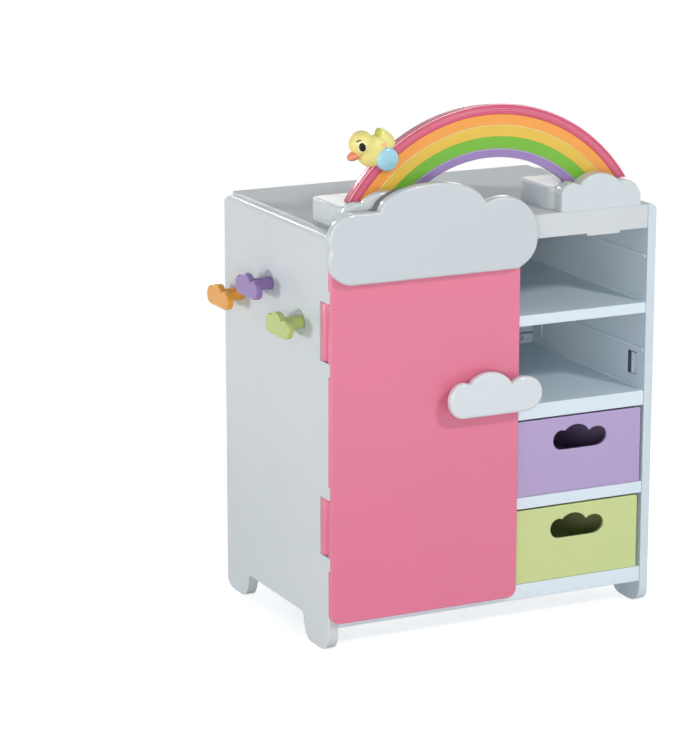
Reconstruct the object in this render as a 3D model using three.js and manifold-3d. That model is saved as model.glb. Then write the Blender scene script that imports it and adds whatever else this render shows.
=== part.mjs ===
// Doll wardrobe with a rainbow arch, a hinged door, two drawers, open bays and coat hooks.
// Millimetres, +Z up, the front faces -Y. Shapes are laid out from the lower front left corner
// of the cabinet, and the finished group is moved so that the middle of its footprint is at 0, 0.
import * as THREE from "three";
import { mergeVertices } from "three/addons/utils/BufferGeometryUtils.js";
import Module from "manifold-3d";

// Cabinet
const CABINET_WIDTH = 349;
const CABINET_DEPTH = 236;
const CABINET_HEIGHT = 400;
const SIDE_THICKNESS = 10;
const SIDE_EDGE_RADIUS = 3;
const SIDE_TOP_RADIUS = 9;
const SIDE_REAR_RADIUS = 5;
const SIDE_CORNER_RADIUS = 22;
const SHELL_WALL = 3;
const APRON_HEIGHT = 23;
const APRON_LIP_WIDTH = 36;
const APRON_LIP_DROP = 2.4;
const APRON_LIP_INSET = 31;
const BACK_THICKNESS = 3;
const BACK_INSET = 7;
const DIVIDER_THICKNESS = 8;
const DIVIDER_RIGHT = 194;
const SEAT_GAP = 0.3;
const CUT_OVERRUN = 5;

// Feet of the side panels
const FOOT_HEIGHT = 25;
const FOOT_WIDTH = 56;
const FOOT_FRONT_RADIUS = 20;
const FOOT_REAR_RADIUS = 16;
const FOOT_TAPER = 5;
const FOOT_FILLET = 4;

// Boards, each by its front edge. The places of the shelves are shares of the height between
// the bottom and the top, and those of the ledges are shares of the height of their bays.
const BOTTOM_TOP = 39;
const BOTTOM_EDGE = 15.4;
const LOWER_SHELF_SHARE = 0.2422;
const LOWER_SHELF_EDGE = 11.7;
const MIDDLE_SHELF_SHARE = 0.4972;
const MIDDLE_SHELF_EDGE = 14.8;
const UPPER_SHELF_SHARE = 0.7411;
const UPPER_SHELF_EDGE = 10.6;
const MIDDLE_LEDGE_SHARE = 0.431;
const UPPER_LEDGE_SHARE = 0.463;
const LEDGE_HEIGHT = 3;
const LEDGE_DEPTH = 1.4;

// Keyhole pocket in the right wall, above the middle shelf
const POCKET_FRONT = 16;
const POCKET_WIDTH = 16;
const POCKET_RISE = 11;
const POCKET_HEIGHT = 23;
const POCKET_DEPTH = 4;

// Plinths behind the clouds
const PLINTH_SIDE = 19;
const PLINTH_LENGTH = 90;
const PLINTH_DEPTH = 64.4;
const PLINTH_HEIGHT = 21;
const PLINTH_RADIUS = 9;
const PLINTH_BEVEL = 1.6;

// Door
const DOOR_THICKNESS = 7.3;
const DOOR_GAP = 0.7;
const DOOR_LEFT = -0.7;
const DOOR_OVERLAP = 2;
const DOOR_BOTTOM = 30;
const DOOR_TOP_GAP = 2;
const DOOR_RADIUS = 9;
const DOOR_BEVEL = 1.5;

// Hinges: pin, knuckle on the door, ears on the left panel
const PIN_RADIUS = 2;
const PIN_CLEARANCE = 0.1;
const PIN_SETBACK = 12;
const PIN_OVERLAP = 10;
const KNUCKLE_RADIUS = 4.6;
const KNUCKLE_LENGTH = 55;
const KNUCKLE_GAP = 0.6;
const LOWER_KNUCKLE_RISE = 64;
const UPPER_KNUCKLE_DROP = 65;
const NOTCH_CLEARANCE = 1.4;
const EAR_HEIGHT = 12.4;
const EAR_REACH = 3.8;
const EAR_CLEARANCE = 1;
const EAR_RELIEF_LENGTH = 17.5;

// Cloud sign on the door
const SIGN_OVERHANG = 5.8;
const SIGN_WIDTH = 216;
const SIGN_DROP = 46;
const SIGN_HEIGHT = 88.4;
const SIGN_THICKNESS = 8.2;
const SIGN_BEVEL = 2.4;
const SIGN_SCREW_RISE = 12;
const SIGN_SCREW_SHARES = [0.222, 0.694];
const SIGN_COVER_INSET = 1.5;
const SIGN_COVER_DEPTH = 10.6;
const SIGN_COVER_LIFT = 2.5;

// Cloud knob on the door
const KNOB_OVERHANG = 16.5;
const KNOB_WIDTH = 98.5;
const KNOB_HEIGHT = 42;
const KNOB_LEVEL_SHARE = 0.58;
const KNOB_THICKNESS = 8;
const KNOB_BEVEL = 2.4;
const KNOB_STANDOFF = 9;
const KNOB_STEM_RADIUS = 6;
const KNOB_STEM_SHARES = [0.244, 0.69];
const KNOB_STEM_RISE = 20;

// Clouds that stand on the front edge of the top
const CLOUD_WIDTH = 89.5;
const CLOUD_HEIGHT = 33.6;
const LEFT_CLOUD_INSET = 13;
const RIGHT_CLOUD_INSET = 16;
const CLOUD_REAR = 14.3;
const LEFT_CLOUD_FRONT = 4.6;
const RIGHT_CLOUD_FRONT = 0;
const CLOUD_BEVEL = 2;

// Drawers
const DRAWER_PLAY = 8;
const DRAWER_REAR_GAP = 7.7;
const DRAWER_WALL = 2.5;
const DRAWER_FRONT_WALL = 3;
const DRAWER_SIDE_DROP = 9;
const DRAWER_SIDE_INSET = 1.5;
const DRAWER_TOP_GAP = 1.6;
const PURPLE_DRAWER_GAP = 4.8;
const GREEN_DRAWER_GAP = 3.2;
const GRIP_WIDTH = 59;
const GRIP_HEIGHT = 23.5;
const GRIP_TOP_INSET = 9;
const GRIP_SHIFT = 1.2;

// Coat hooks on the left side, by the place of the stem: shares of the depth, and drops from the top
const HOOK_PLATE_WIDTH = 50;
const HOOK_PLATE_HEIGHT = 22;
const HOOK_PLATE_THICKNESS = 6.5;
const HOOK_PLATE_BEVEL = 1.6;
const HOOK_REACH = 24;
const HOOK_STEM_RADIUS = 6.2;
const HOOK_DIMPLE_RADIUS = 12.4;
const HOOK_DIMPLE_DEPTH = 2.4;
const HOOK_SETBACK_SHARES = [0.2585, 0.5487, 0.836];
const OUTER_HOOK_DROP = 93.6;
const MIDDLE_HOOK_DROP = 70;

// Clothes rail
const RAIL_RADIUS = 4.5;
const RAIL_DROP = 54;
const SOCKET_RADIUS = 9;
const SOCKET_LENGTH = 8;
const SOCKET_FLOOR = 2;

// Hangers on the rail, by the places of their middles as shares of the room it spans
const HANGER_PLACE_SHARES = [0.25, 0.5, 0.75];
const HANGER_THICKNESS = 4.5;
const HANGER_LENGTH = 172;
const HANGER_DROP = 15;
const HANGER_MIDDLE_HEIGHT = 12;
const HANGER_END_HEIGHT = 7.5;
const HANGER_NECK_WIDTH = 8;
const HANGER_NECK_LENGTH = 10;
const HANGER_HOOK_INSIDE = 8;
const HANGER_HOOK_WALL = 4.5;
const HANGER_HOOK_OPENING = THREE.MathUtils.degToRad(115);

// Rainbow arch, a little right of the middle
const ARCH_SHIFT = 10.8;
const ARCH_HEIGHT = 101.8;
const ARCH_OVERREACH = 3;
const ARCH_SETBACK = 18.9;
const ARCH_THICKNESS = 10;
const PINK_BAND = 9.9;
const ORANGE_BAND = 9.6;
const YELLOW_BAND = 11.3;
const GREEN_BAND = 11.3;
const PURPLE_BAND = 8.4;

// Bird that sits astride the arch. Its places are measured from its seat on the rim, as
// [ahead towards the beak, up], and its sizes are half lengths [ahead, across, up].
const BIRD_ANGLE = THREE.MathUtils.degToRad(132.6);
const BIRD_BODY_PLACE = [-1, 11];
const BIRD_BODY_HALVES = [18.5, 9.8, 15.5];
const BIRD_HEAD_PLACE = [12.9, 19.2];
const BIRD_HEAD_HALVES = [12, 10.8, 12];
const BIRD_TAIL_PLACE = [-11.3, 20];
const BIRD_TAIL_HALVES = [8.5, 6, 13.5];
const BIRD_TAIL_TILT = THREE.MathUtils.degToRad(-33);
const BIRD_SOLE_DROP = 4.5;
const BEAK_PLACE = [19.2, 8];
const BEAK_HALVES = [8.3, 6, 4.6];
const BEAK_TILT = THREE.MathUtils.degToRad(-20);
const EYE_PLACE = [16.4, 17.4];
const EYE_RADIUS = 4;
const EYE_SPREAD = 7.2;
const WING_PLACE = [-10, 4];
const WING_RADIUS = 11;
const WING_THICKNESS = 7.5;
const SLIDER_GAP = 0.5;

// Screws
const SCREW_RADIUS = 1.6;
const SCREW_HEAD_RADIUS = 3.6;
const SCREW_HEAD_HEIGHT = 2;
const SCREW_CLEARANCE = 0.3;
const SCREW_BITE = 9;
const BACK_SCREW_EDGE = 14;

// Smoothness of round faces
const ROUND_SIDES = 16;
const SMALL_SIDES = 10;
const LOBE_STEPS = 13;
const SMALL_LOBE_STEPS = 8;
const ARCH_STEPS = 28;

// Clouds as lobes [centre across, centre up, half width, half height] and one bar
// [left, right, top], all as shares of the width and height of the cloud.
const KNOB_LOBE_SHARES = [
  [0.152, 0.409, 0.152, 0.409], [0.431, 0.5, 0.255, 0.5], [0.809, 0.409, 0.191, 0.409],
];
const KNOB_BAR_SHARES = [0.152, 0.809, 0.6];
const SIGN_MIDDLE_LOBE_SHARES = [0.486, 0.729, 0.25, 0.271];
const SIGN_LOBE_SHARES = [
  [0.111, 0.486, 0.111, 0.265], [0.116, 0.276, 0.116, 0.276], SIGN_MIDDLE_LOBE_SHARES,
  [0.824, 0.37, 0.176, 0.42], [0.87, 0.309, 0.13, 0.309],
];
const SIGN_BAR_SHARES = [0.111, 0.87, 0.75];
const CLOUD_LOBE_SHARES = [
  [0.14, 0.444, 0.14, 0.347], [0.464, 0.389, 0.29, 0.611], [0.765, 0.222, 0.212, 0.528],
];
const CLOUD_BAR_SHARES = [0, 0.98, 0.2];

// Plastics
const plastic = (color, roughness) => new THREE.MeshStandardMaterial({ color, roughness, metalness: 0 });
const WHITE = plastic(0xdfe6e9, 0.35);
const PINK = plastic(0xe07b98, 0.25);
const PURPLE = plastic(0xb09fcb, 0.35);
const GREEN = plastic(0xcbd796, 0.35);
const GREY = plastic(0x858785, 0.6);
const AQUA = plastic(0xa0d2e2, 0.3);
const BLACK = plastic(0x1b1518, 0.2);
const BIRD_YELLOW = plastic(0xe8dd8c, 0.45);
const BEAK_ORANGE = plastic(0xeb8a69, 0.45);
const STEEL = new THREE.MeshStandardMaterial({ color: 0xb8bcc0, roughness: 0.35, metalness: 1 });
const HOOK_PLASTICS = [plastic(0xb5c47d, 0.3), plastic(0x997fb4, 0.3), plastic(0xe2a350, 0.3)];
const HANGER_PLASTICS = [plastic(0xd9668b, 0.3), plastic(0xc6d78c, 0.3), plastic(0xa78fc9, 0.3)];
const BAND_PLASTICS = [0xdc6f8e, 0xf3a652, 0xe8c45a, 0x7cc052, 0xa288be].map((color) => plastic(color, 0.2));

// Places that several pieces share
const INNER_LEFT = SIDE_THICKNESS;
const INNER_RIGHT = CABINET_WIDTH - SIDE_THICKNESS;
const DIVIDER_LEFT = DIVIDER_RIGHT - DIVIDER_THICKNESS;
const BACK_FRONT_FACE = CABINET_DEPTH - BACK_INSET - BACK_THICKNESS;
const BOARD_REAR = BACK_FRONT_FACE - SEAT_GAP;
const TOP_INSIDE = CABINET_HEIGHT - SHELL_WALL;
const shelfTop = (share) => BOTTOM_TOP + share * (TOP_INSIDE - BOTTOM_TOP);
const LOWER_SHELF_TOP = shelfTop(LOWER_SHELF_SHARE);
const MIDDLE_SHELF_TOP = shelfTop(MIDDLE_SHELF_SHARE);
const UPPER_SHELF_TOP = shelfTop(UPPER_SHELF_SHARE);
const DOOR_BACK = -DOOR_GAP;
const DOOR_FRONT = DOOR_BACK - DOOR_THICKNESS;
const DOOR_RIGHT = DIVIDER_RIGHT + DOOR_OVERLAP;
const DOOR_TOP = CABINET_HEIGHT - DOOR_TOP_GAP;
const PIN_X = SIDE_THICKNESS / 2;
const KNUCKLE_PLACES = [
  DOOR_BOTTOM + LOWER_KNUCKLE_RISE,
  CABINET_HEIGHT - UPPER_KNUCKLE_DROP - KNUCKLE_LENGTH,
];
const SIGN_BACK = DOOR_FRONT - SEAT_GAP;
const SIGN_FRONT = SIGN_BACK - SIGN_THICKNESS;
const SIGN_LEFT = DOOR_LEFT - SIGN_OVERHANG;
const SIGN_BOTTOM = CABINET_HEIGHT - SIGN_DROP;
const KNOB_BACK = DOOR_FRONT - KNOB_STANDOFF;
const KNOB_FRONT = KNOB_BACK - KNOB_THICKNESS;
const KNOB_LEFT = DOOR_RIGHT + KNOB_OVERHANG - KNOB_WIDTH;
const KNOB_BOTTOM = DOOR_BOTTOM + KNOB_LEVEL_SHARE * (SIGN_BOTTOM - DOOR_BOTTOM);
const HOOK_PLACES = [
  [HOOK_SETBACK_SHARES[0] * CABINET_DEPTH, CABINET_HEIGHT - OUTER_HOOK_DROP],
  [HOOK_SETBACK_SHARES[1] * CABINET_DEPTH, CABINET_HEIGHT - MIDDLE_HOOK_DROP],
  [HOOK_SETBACK_SHARES[2] * CABINET_DEPTH, CABINET_HEIGHT - OUTER_HOOK_DROP],
];
const RAIL_SETBACK = CABINET_DEPTH / 2;
const RAIL_LEVEL = CABINET_HEIGHT - RAIL_DROP;
const DRAWER_WIDTH = INNER_RIGHT - DIVIDER_RIGHT - DRAWER_PLAY;
const DRAWER_DEPTH = BOARD_REAR - DRAWER_REAR_GAP;
const PLINTH_TOP = CABINET_HEIGHT + PLINTH_HEIGHT;
const PLINTH_FRONT = CLOUD_REAR + SEAT_GAP;
const PLINTH_REAR = PLINTH_FRONT + PLINTH_DEPTH;
const ARCH_RADIUS = CABINET_WIDTH / 2 + ARCH_OVERREACH;
const ARCH_X = CABINET_WIDTH / 2 + ARCH_SHIFT;
const ARCH_Z = CABINET_HEIGHT + ARCH_HEIGHT - ARCH_RADIUS;
const ARCH_FRONT = PLINTH_FRONT + ARCH_SETBACK;
const ARCH_REAR = ARCH_FRONT + ARCH_THICKNESS;
const ARCH_MIDDLE = (ARCH_FRONT + ARCH_REAR) / 2;

const wasm = await Module();
wasm.setup();

/** A closed geometry as a solid that can be cut and joined. */
function solid(geometry) {
  const bare = geometry.index ? geometry.toNonIndexed() : geometry.clone();
  bare.deleteAttribute("normal");
  bare.deleteAttribute("uv");
  const merged = mergeVertices(bare);
  return new wasm.Manifold(new wasm.Mesh({
    numProp: 3,
    vertProperties: new Float32Array(merged.attributes.position.array),
    triVerts: new Uint32Array(merged.index.array),
  }));
}

/** A solid back as a geometry with flat faces. */
function geometryOf(manifold) {
  const mesh = manifold.getMesh();
  const geometry = new THREE.BufferGeometry();
  geometry.setAttribute("position", new THREE.BufferAttribute(new Float32Array(mesh.vertProperties), 3));
  geometry.setIndex(new THREE.BufferAttribute(new Uint32Array(mesh.triVerts), 1));
  const flat = geometry.toNonIndexed();
  flat.computeVertexNormals();
  return flat;
}

const join = (first, ...others) => others.reduce((sum, piece) => sum.add(piece), first);
const cut = (first, ...others) => others.reduce((rest, piece) => rest.subtract(piece), first);

/** A box between two opposite corners. */
function block([x0, y0, z0], [x1, y1, z1]) {
  const geometry = new THREE.BoxGeometry(x1 - x0, y1 - y0, z1 - z0);
  return solid(geometry.translate((x0 + x1) / 2, (y0 + y1) / 2, (z0 + z1) / 2));
}

/** A round bar between two points that differ along one axis. */
function bar(from, to, radius, sides = SMALL_SIDES) {
  const start = new THREE.Vector3(...from);
  const span = new THREE.Vector3(...to).sub(start);
  const geometry = new THREE.CylinderGeometry(radius, radius, span.length(), sides);
  const direction = span.clone().normalize();
  geometry.applyQuaternion(new THREE.Quaternion().setFromUnitVectors(new THREE.Vector3(0, 1, 0), direction));
  return solid(geometry.translate(...start.addScaledVector(span, 0.5)));
}

/** A closed outline of corners [u, v, radius], each rounded off by its radius. */
function roundedOutline(corners) {
  const shape = new THREE.Shape();
  corners.forEach(([u, v, radius = 0], index) => {
    const here = new THREE.Vector2(u, v);
    const before = corners.at(index - 1);
    const after = corners[(index + 1) % corners.length];
    const towards = ([pu, pv]) => new THREE.Vector2(pu, pv).sub(here).setLength(radius).add(here);
    const start = radius ? towards(before) : here;
    const end = radius ? towards(after) : here;
    if (index === 0) shape.moveTo(start.x, start.y);
    else shape.lineTo(start.x, start.y);
    if (radius) shape.quadraticCurveTo(here.x, here.y, end.x, end.y);
  });
  shape.closePath();
  return shape;
}

/** How an outline is pulled into a plate: plain, or with its edges rounded over by a bevel. */
function pull(shape, length, bevel, curveSegments) {
  const options = { depth: length - 2 * bevel, curveSegments, bevelEnabled: bevel > 0 };
  Object.assign(options, { bevelSize: bevel, bevelThickness: bevel, bevelOffset: -bevel, bevelSegments: 2 });
  return new THREE.ExtrudeGeometry(shape, options).translate(0, 0, bevel);
}

/** A plate with its outline in x and z, between two depths. */
function frontPlate(shape, front, rear, bevel = 0, curveSegments = 5) {
  const geometry = pull(shape, rear - front, bevel, curveSegments);
  return solid(geometry.rotateX(Math.PI / 2).translate(0, rear, 0));
}

/** A plate with its outline in y and z, between two places across. */
function sidePlate(shape, left, right, bevel = 0, curveSegments = 5) {
  const axes = new THREE.Matrix4().makeBasis(
    new THREE.Vector3(0, 1, 0), new THREE.Vector3(0, 0, 1), new THREE.Vector3(1, 0, 0));
  return solid(pull(shape, right - left, bevel, curveSegments).applyMatrix4(axes).translate(left, 0, 0));
}

/** A plate with its outline in x and y, between two levels. */
function flatPlate(shape, bottom, top, bevel = 0, curveSegments = 5) {
  return solid(pull(shape, top - bottom, bevel, curveSegments).translate(0, 0, bottom));
}

/** One lobe of a cloud: an ellipse drawn in by an inset, and cut level at the base of the cloud. */
function lobe([across, up, halfAcross, halfUp], { left, bottom, width, height, mirrored }, inset = 0) {
  const [halfU, halfV] = [width * halfAcross - inset, height * halfUp - inset];
  const below = height * up < halfV ? Math.asin(height * up / halfV) : Math.PI / 2;
  const shape = new THREE.Shape();
  shape.absellipse(
    left + width * (mirrored ? 1 - across : across), bottom + height * up,
    halfU, halfV, -below, Math.PI + below, false);
  return shape;
}

/** Level bar that ties the lobes of a cloud together. */
function cloudBar([start, end, up], { left, bottom, width, height, mirrored }) {
  const [from, to] = mirrored ? [1 - end, 1 - start] : [start, end];
  const [u0, u1, top] = [left + width * from, left + width * to, bottom + height * up];
  return roundedOutline([[u0, bottom], [u1, bottom], [u1, top], [u0, top]]);
}

/** Cloud in its place: one plate for each lobe and one for the bar, joined. */
function cloud(lobeShares, barShares, place, plateOf) {
  const shapes = [...lobeShares.map((shares) => lobe(shares, place)), cloudBar(barShares, place)];
  return join(...shapes.map(plateOf)).asOriginal();
}

const knobCloud = (place, plateOf) => cloud(KNOB_LOBE_SHARES, KNOB_BAR_SHARES, place, plateOf);

/** Board with a downturned edge all round: a slab, hollowed from below. */
function tray([x0, y0, z0], [x1, y1, z1]) {
  const hollow = block(
    [x0 + SHELL_WALL, y0 + SHELL_WALL, z0 - CUT_OVERRUN],
    [x1 - SHELL_WALL, y1 - SHELL_WALL, z1 - SHELL_WALL]);
  return cut(block([x0, y0, z0], [x1, y1, z1]), hollow);
}

/** Side view of a side panel: two rounded feet and a rounded upper rear corner. */
function sideOutline() {
  const frontFootRear = FOOT_WIDTH;
  const rearFootFront = CABINET_DEPTH - FOOT_WIDTH;
  return roundedOutline([
    [0, 0, FOOT_FRONT_RADIUS],
    [frontFootRear - FOOT_TAPER, 0, FOOT_REAR_RADIUS],
    [frontFootRear, FOOT_HEIGHT, FOOT_FILLET],
    [rearFootFront, FOOT_HEIGHT, FOOT_FILLET],
    [rearFootFront + FOOT_TAPER, 0, FOOT_REAR_RADIUS],
    [CABINET_DEPTH, 0, FOOT_FRONT_RADIUS],
    [CABINET_DEPTH, CABINET_HEIGHT, SIDE_CORNER_RADIUS],
    [0, CABINET_HEIGHT],
  ]);
}

/** Side panel between its outer and inner face, with the outer edges rounded. */
function sideBoard(outer, inner) {
  const [left, right] = [Math.min(outer, inner), Math.max(outer, inner)];
  const above = CABINET_HEIGHT + CUT_OVERRUN;
  const elevation = roundedOutline([
    [outer, -CUT_OVERRUN], [inner, -CUT_OVERRUN],
    [inner, CABINET_HEIGHT], [outer, CABINET_HEIGHT, SIDE_TOP_RADIUS]]);
  const plan = roundedOutline([
    [outer, 0, SIDE_EDGE_RADIUS], [inner, 0],
    [inner, CABINET_DEPTH], [outer, CABINET_DEPTH, SIDE_REAR_RADIUS]]);
  return sidePlate(sideOutline(), left, right)
    .intersect(frontPlate(elevation, -CUT_OVERRUN, CABINET_DEPTH + CUT_OVERRUN))
    .intersect(flatPlate(plan, -CUT_OVERRUN, above));
}

/** Plan of one hinge ear on the front of the left panel. */
function earPlan() {
  return roundedOutline([
    [0, -EAR_REACH, SIDE_EDGE_RADIUS], [SIDE_THICKNESS - SEAT_GAP, -EAR_REACH],
    [SIDE_THICKNESS - SEAT_GAP, SIDE_EDGE_RADIUS], [0, SIDE_EDGE_RADIUS]]);
}

/** Both ears of the hinge whose knuckle starts at a level, as [bottom, top]. */
function earLevels(level) {
  const upper = level + KNUCKLE_LENGTH + KNUCKLE_GAP;
  return [[level - KNUCKLE_GAP - EAR_HEIGHT, level - KNUCKLE_GAP], [upper, upper + EAR_HEIGHT]];
}

/** Bore for a hinge pin between two levels. */
const pinBore = (bottom, top) => bar(
  [PIN_X, PIN_SETBACK, bottom], [PIN_X, PIN_SETBACK, top], PIN_RADIUS + PIN_CLEARANCE, ROUND_SIDES);

function leftSidePanel() {
  let panel = sideBoard(0, SIDE_THICKNESS);
  const notchRear = PIN_SETBACK + KNUCKLE_RADIUS + NOTCH_CLEARANCE;
  for (const level of KNUCKLE_PLACES) {
    const top = level + KNUCKLE_LENGTH;
    for (const [earBottom, earTop] of earLevels(level)) {
      panel = join(panel, flatPlate(earPlan(), earBottom, earTop));
    }
    panel = cut(
      panel,
      block([-CUT_OVERRUN, -CUT_OVERRUN, level - KNUCKLE_GAP],
        [SIDE_THICKNESS + CUT_OVERRUN, notchRear, top + KNUCKLE_GAP]),
      pinBore(level - PIN_OVERLAP - SEAT_GAP, top + PIN_OVERLAP + SEAT_GAP),
    );
  }
  for (const [y, z] of HOOK_PLACES) {
    panel = cut(
      panel,
      bar([-CUT_OVERRUN, y, z], [HOOK_DIMPLE_DEPTH, y, z], HOOK_DIMPLE_RADIUS, ROUND_SIDES),
      bar([0, y, z], [SIDE_THICKNESS + CUT_OVERRUN, y, z], SCREW_RADIUS + SCREW_CLEARANCE),
    );
  }
  return panel;
}

function rightSidePanel() {
  const ledgePlaces = [
    MIDDLE_SHELF_TOP + MIDDLE_LEDGE_SHARE * (UPPER_SHELF_TOP - MIDDLE_SHELF_TOP),
    UPPER_SHELF_TOP + UPPER_LEDGE_SHARE * (TOP_INSIDE - UPPER_SHELF_TOP),
  ];
  const ledges = ledgePlaces.map((level) => block(
    [INNER_RIGHT - LEDGE_DEPTH, SHELL_WALL, level],
    [CABINET_WIDTH - SIDE_THICKNESS / 2, BOARD_REAR, level + LEDGE_HEIGHT]));
  const pocketBottom = MIDDLE_SHELF_TOP + POCKET_RISE;
  const pocket = block(
    [INNER_RIGHT - CUT_OVERRUN, POCKET_FRONT, pocketBottom],
    [INNER_RIGHT + POCKET_DEPTH, POCKET_FRONT + POCKET_WIDTH, pocketBottom + POCKET_HEIGHT]);
  return cut(join(sideBoard(CABINET_WIDTH, INNER_RIGHT), ...ledges), pocket);
}

/** Hollow block on the top that carries one foot of the rainbow. */
function plinth(left) {
  const right = left + PLINTH_LENGTH;
  const bottom = CABINET_HEIGHT + SEAT_GAP;
  const plan = roundedOutline([
    [left, PLINTH_FRONT, PLINTH_RADIUS], [right, PLINTH_FRONT, PLINTH_RADIUS],
    [right, PLINTH_REAR, PLINTH_RADIUS], [left, PLINTH_REAR, PLINTH_RADIUS]]);
  const hollow = block(
    [left + SHELL_WALL, PLINTH_FRONT + SHELL_WALL, 0],
    [right - SHELL_WALL, PLINTH_REAR - SHELL_WALL, PLINTH_TOP - SHELL_WALL]);
  const whole = flatPlate(plan, bottom - PLINTH_BEVEL, PLINTH_TOP, PLINTH_BEVEL);
  const below = block([left, PLINTH_FRONT, 0], [right, PLINTH_REAR, bottom]);
  return cut(whole, below, hollow);
}

function topPanel() {
  const bottom = CABINET_HEIGHT - APRON_HEIGHT;
  const lipRight = INNER_RIGHT - APRON_LIP_INSET;
  return join(
    tray([INNER_LEFT + SEAT_GAP, 0, bottom], [INNER_RIGHT - SEAT_GAP, CABINET_DEPTH, CABINET_HEIGHT]),
    block([lipRight - APRON_LIP_WIDTH, 0, bottom - APRON_LIP_DROP],
      [lipRight, SHELL_WALL, bottom + SHELL_WALL]),
  );
}

const bottomPanel = () => tray(
  [INNER_LEFT + SEAT_GAP, 0, BOTTOM_TOP - BOTTOM_EDGE],
  [INNER_RIGHT - SEAT_GAP, CABINET_DEPTH - BACK_INSET, BOTTOM_TOP]);

const shelf = (top, edge) => tray(
  [DIVIDER_RIGHT + SEAT_GAP, 0, top - edge], [INNER_RIGHT - SEAT_GAP, BOARD_REAR, top]);

/** Places of the screws that hold the back to the divider, up to just below the rear edge of the top. */
const BACK_SCREWS = [
  [(DIVIDER_LEFT + DIVIDER_RIGHT) / 2, BOTTOM_TOP + BACK_SCREW_EDGE],
  [(DIVIDER_LEFT + DIVIDER_RIGHT) / 2, (BOTTOM_TOP + TOP_INSIDE) / 2],
  [(DIVIDER_LEFT + DIVIDER_RIGHT) / 2, CABINET_HEIGHT - APRON_HEIGHT - BACK_SCREW_EDGE],
];

/** Screw along +Y or -Y with its head's inner face at a depth. */
function screwAlongY([x, z], seat, direction, length) {
  return join(
    bar([x, seat, z], [x, seat + direction * SCREW_HEAD_HEIGHT, z], SCREW_HEAD_RADIUS),
    bar([x, seat + direction * SCREW_HEAD_HEIGHT / 2, z], [x, seat - direction * length, z], SCREW_RADIUS),
  );
}

/** Hole along Y for a screw. */
const holeAlongY = ([x, z], from, to) => bar([x, from, z], [x, to, z], SCREW_RADIUS + SCREW_CLEARANCE);

function dividerPanel() {
  const front = SHELL_WALL + SEAT_GAP;
  const board = block(
    [DIVIDER_LEFT, front, BOTTOM_TOP + SEAT_GAP],
    [DIVIDER_RIGHT, BOARD_REAR, TOP_INSIDE - SEAT_GAP]);
  const underApron = block(
    [DIVIDER_LEFT, 0, BOTTOM_TOP + SEAT_GAP],
    [DIVIDER_RIGHT, front + SHELL_WALL, CABINET_HEIGHT - APRON_HEIGHT - SEAT_GAP]);
  const holeEnd = BOARD_REAR - SCREW_BITE - SEAT_GAP;
  const holes = BACK_SCREWS.map((place) => holeAlongY(place, holeEnd, CABINET_DEPTH));
  return cut(join(board, underApron), ...holes);
}

/** Back sheet: as wide as the inside below the rear edge of the top, with a tongue up behind that edge. */
function backPanel() {
  const rear = BACK_FRONT_FACE + BACK_THICKNESS;
  const shoulder = CABINET_HEIGHT - APRON_HEIGHT - SEAT_GAP;
  const [tongueLeft, tongueRight] = [INNER_LEFT + SHELL_WALL, INNER_RIGHT - SHELL_WALL];
  const sheet = join(
    block([INNER_LEFT + SEAT_GAP, BACK_FRONT_FACE, BOTTOM_TOP + SEAT_GAP],
      [INNER_RIGHT - SEAT_GAP, rear, shoulder]),
    block([tongueLeft + 2 * SEAT_GAP, BACK_FRONT_FACE, BOTTOM_TOP + SEAT_GAP],
      [tongueRight - 2 * SEAT_GAP, rear, TOP_INSIDE - SEAT_GAP]),
  );
  return cut(sheet, ...BACK_SCREWS.map((place) => holeAlongY(place, 0, CABINET_DEPTH)));
}

/** Round cup that holds one end of the clothes rail, from its wall towards the room. */
function railSocket(wall, direction) {
  const at = (offset) => [wall + direction * offset, RAIL_SETBACK, RAIL_LEVEL];
  return cut(
    bar(at(SEAT_GAP), at(SOCKET_LENGTH), SOCKET_RADIUS, ROUND_SIDES),
    bar(at(SOCKET_FLOOR), at(SOCKET_LENGTH + CUT_OVERRUN), RAIL_RADIUS + SEAT_GAP, ROUND_SIDES),
  );
}

function clothesRail() {
  const inset = SOCKET_FLOOR + SEAT_GAP;
  return bar(
    [INNER_LEFT + inset, RAIL_SETBACK, RAIL_LEVEL], [DIVIDER_LEFT - inset, RAIL_SETBACK, RAIL_LEVEL],
    RAIL_RADIUS, ROUND_SIDES);
}

/** Outline of a bar that tapers from one round end to the other. */
function taperedLink([u0, v0], radius0, [u1, v1], radius1) {
  const along = Math.atan2(v1 - v0, u1 - u0);
  const spread = Math.acos((radius0 - radius1) / Math.hypot(u1 - u0, v1 - v0));
  const shape = new THREE.Shape();
  shape.absarc(u1, v1, radius1, along - spread, along + spread, false);
  shape.absarc(u0, v0, radius0, along + spread, along - spread + 2 * Math.PI, false);
  return shape;
}

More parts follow.
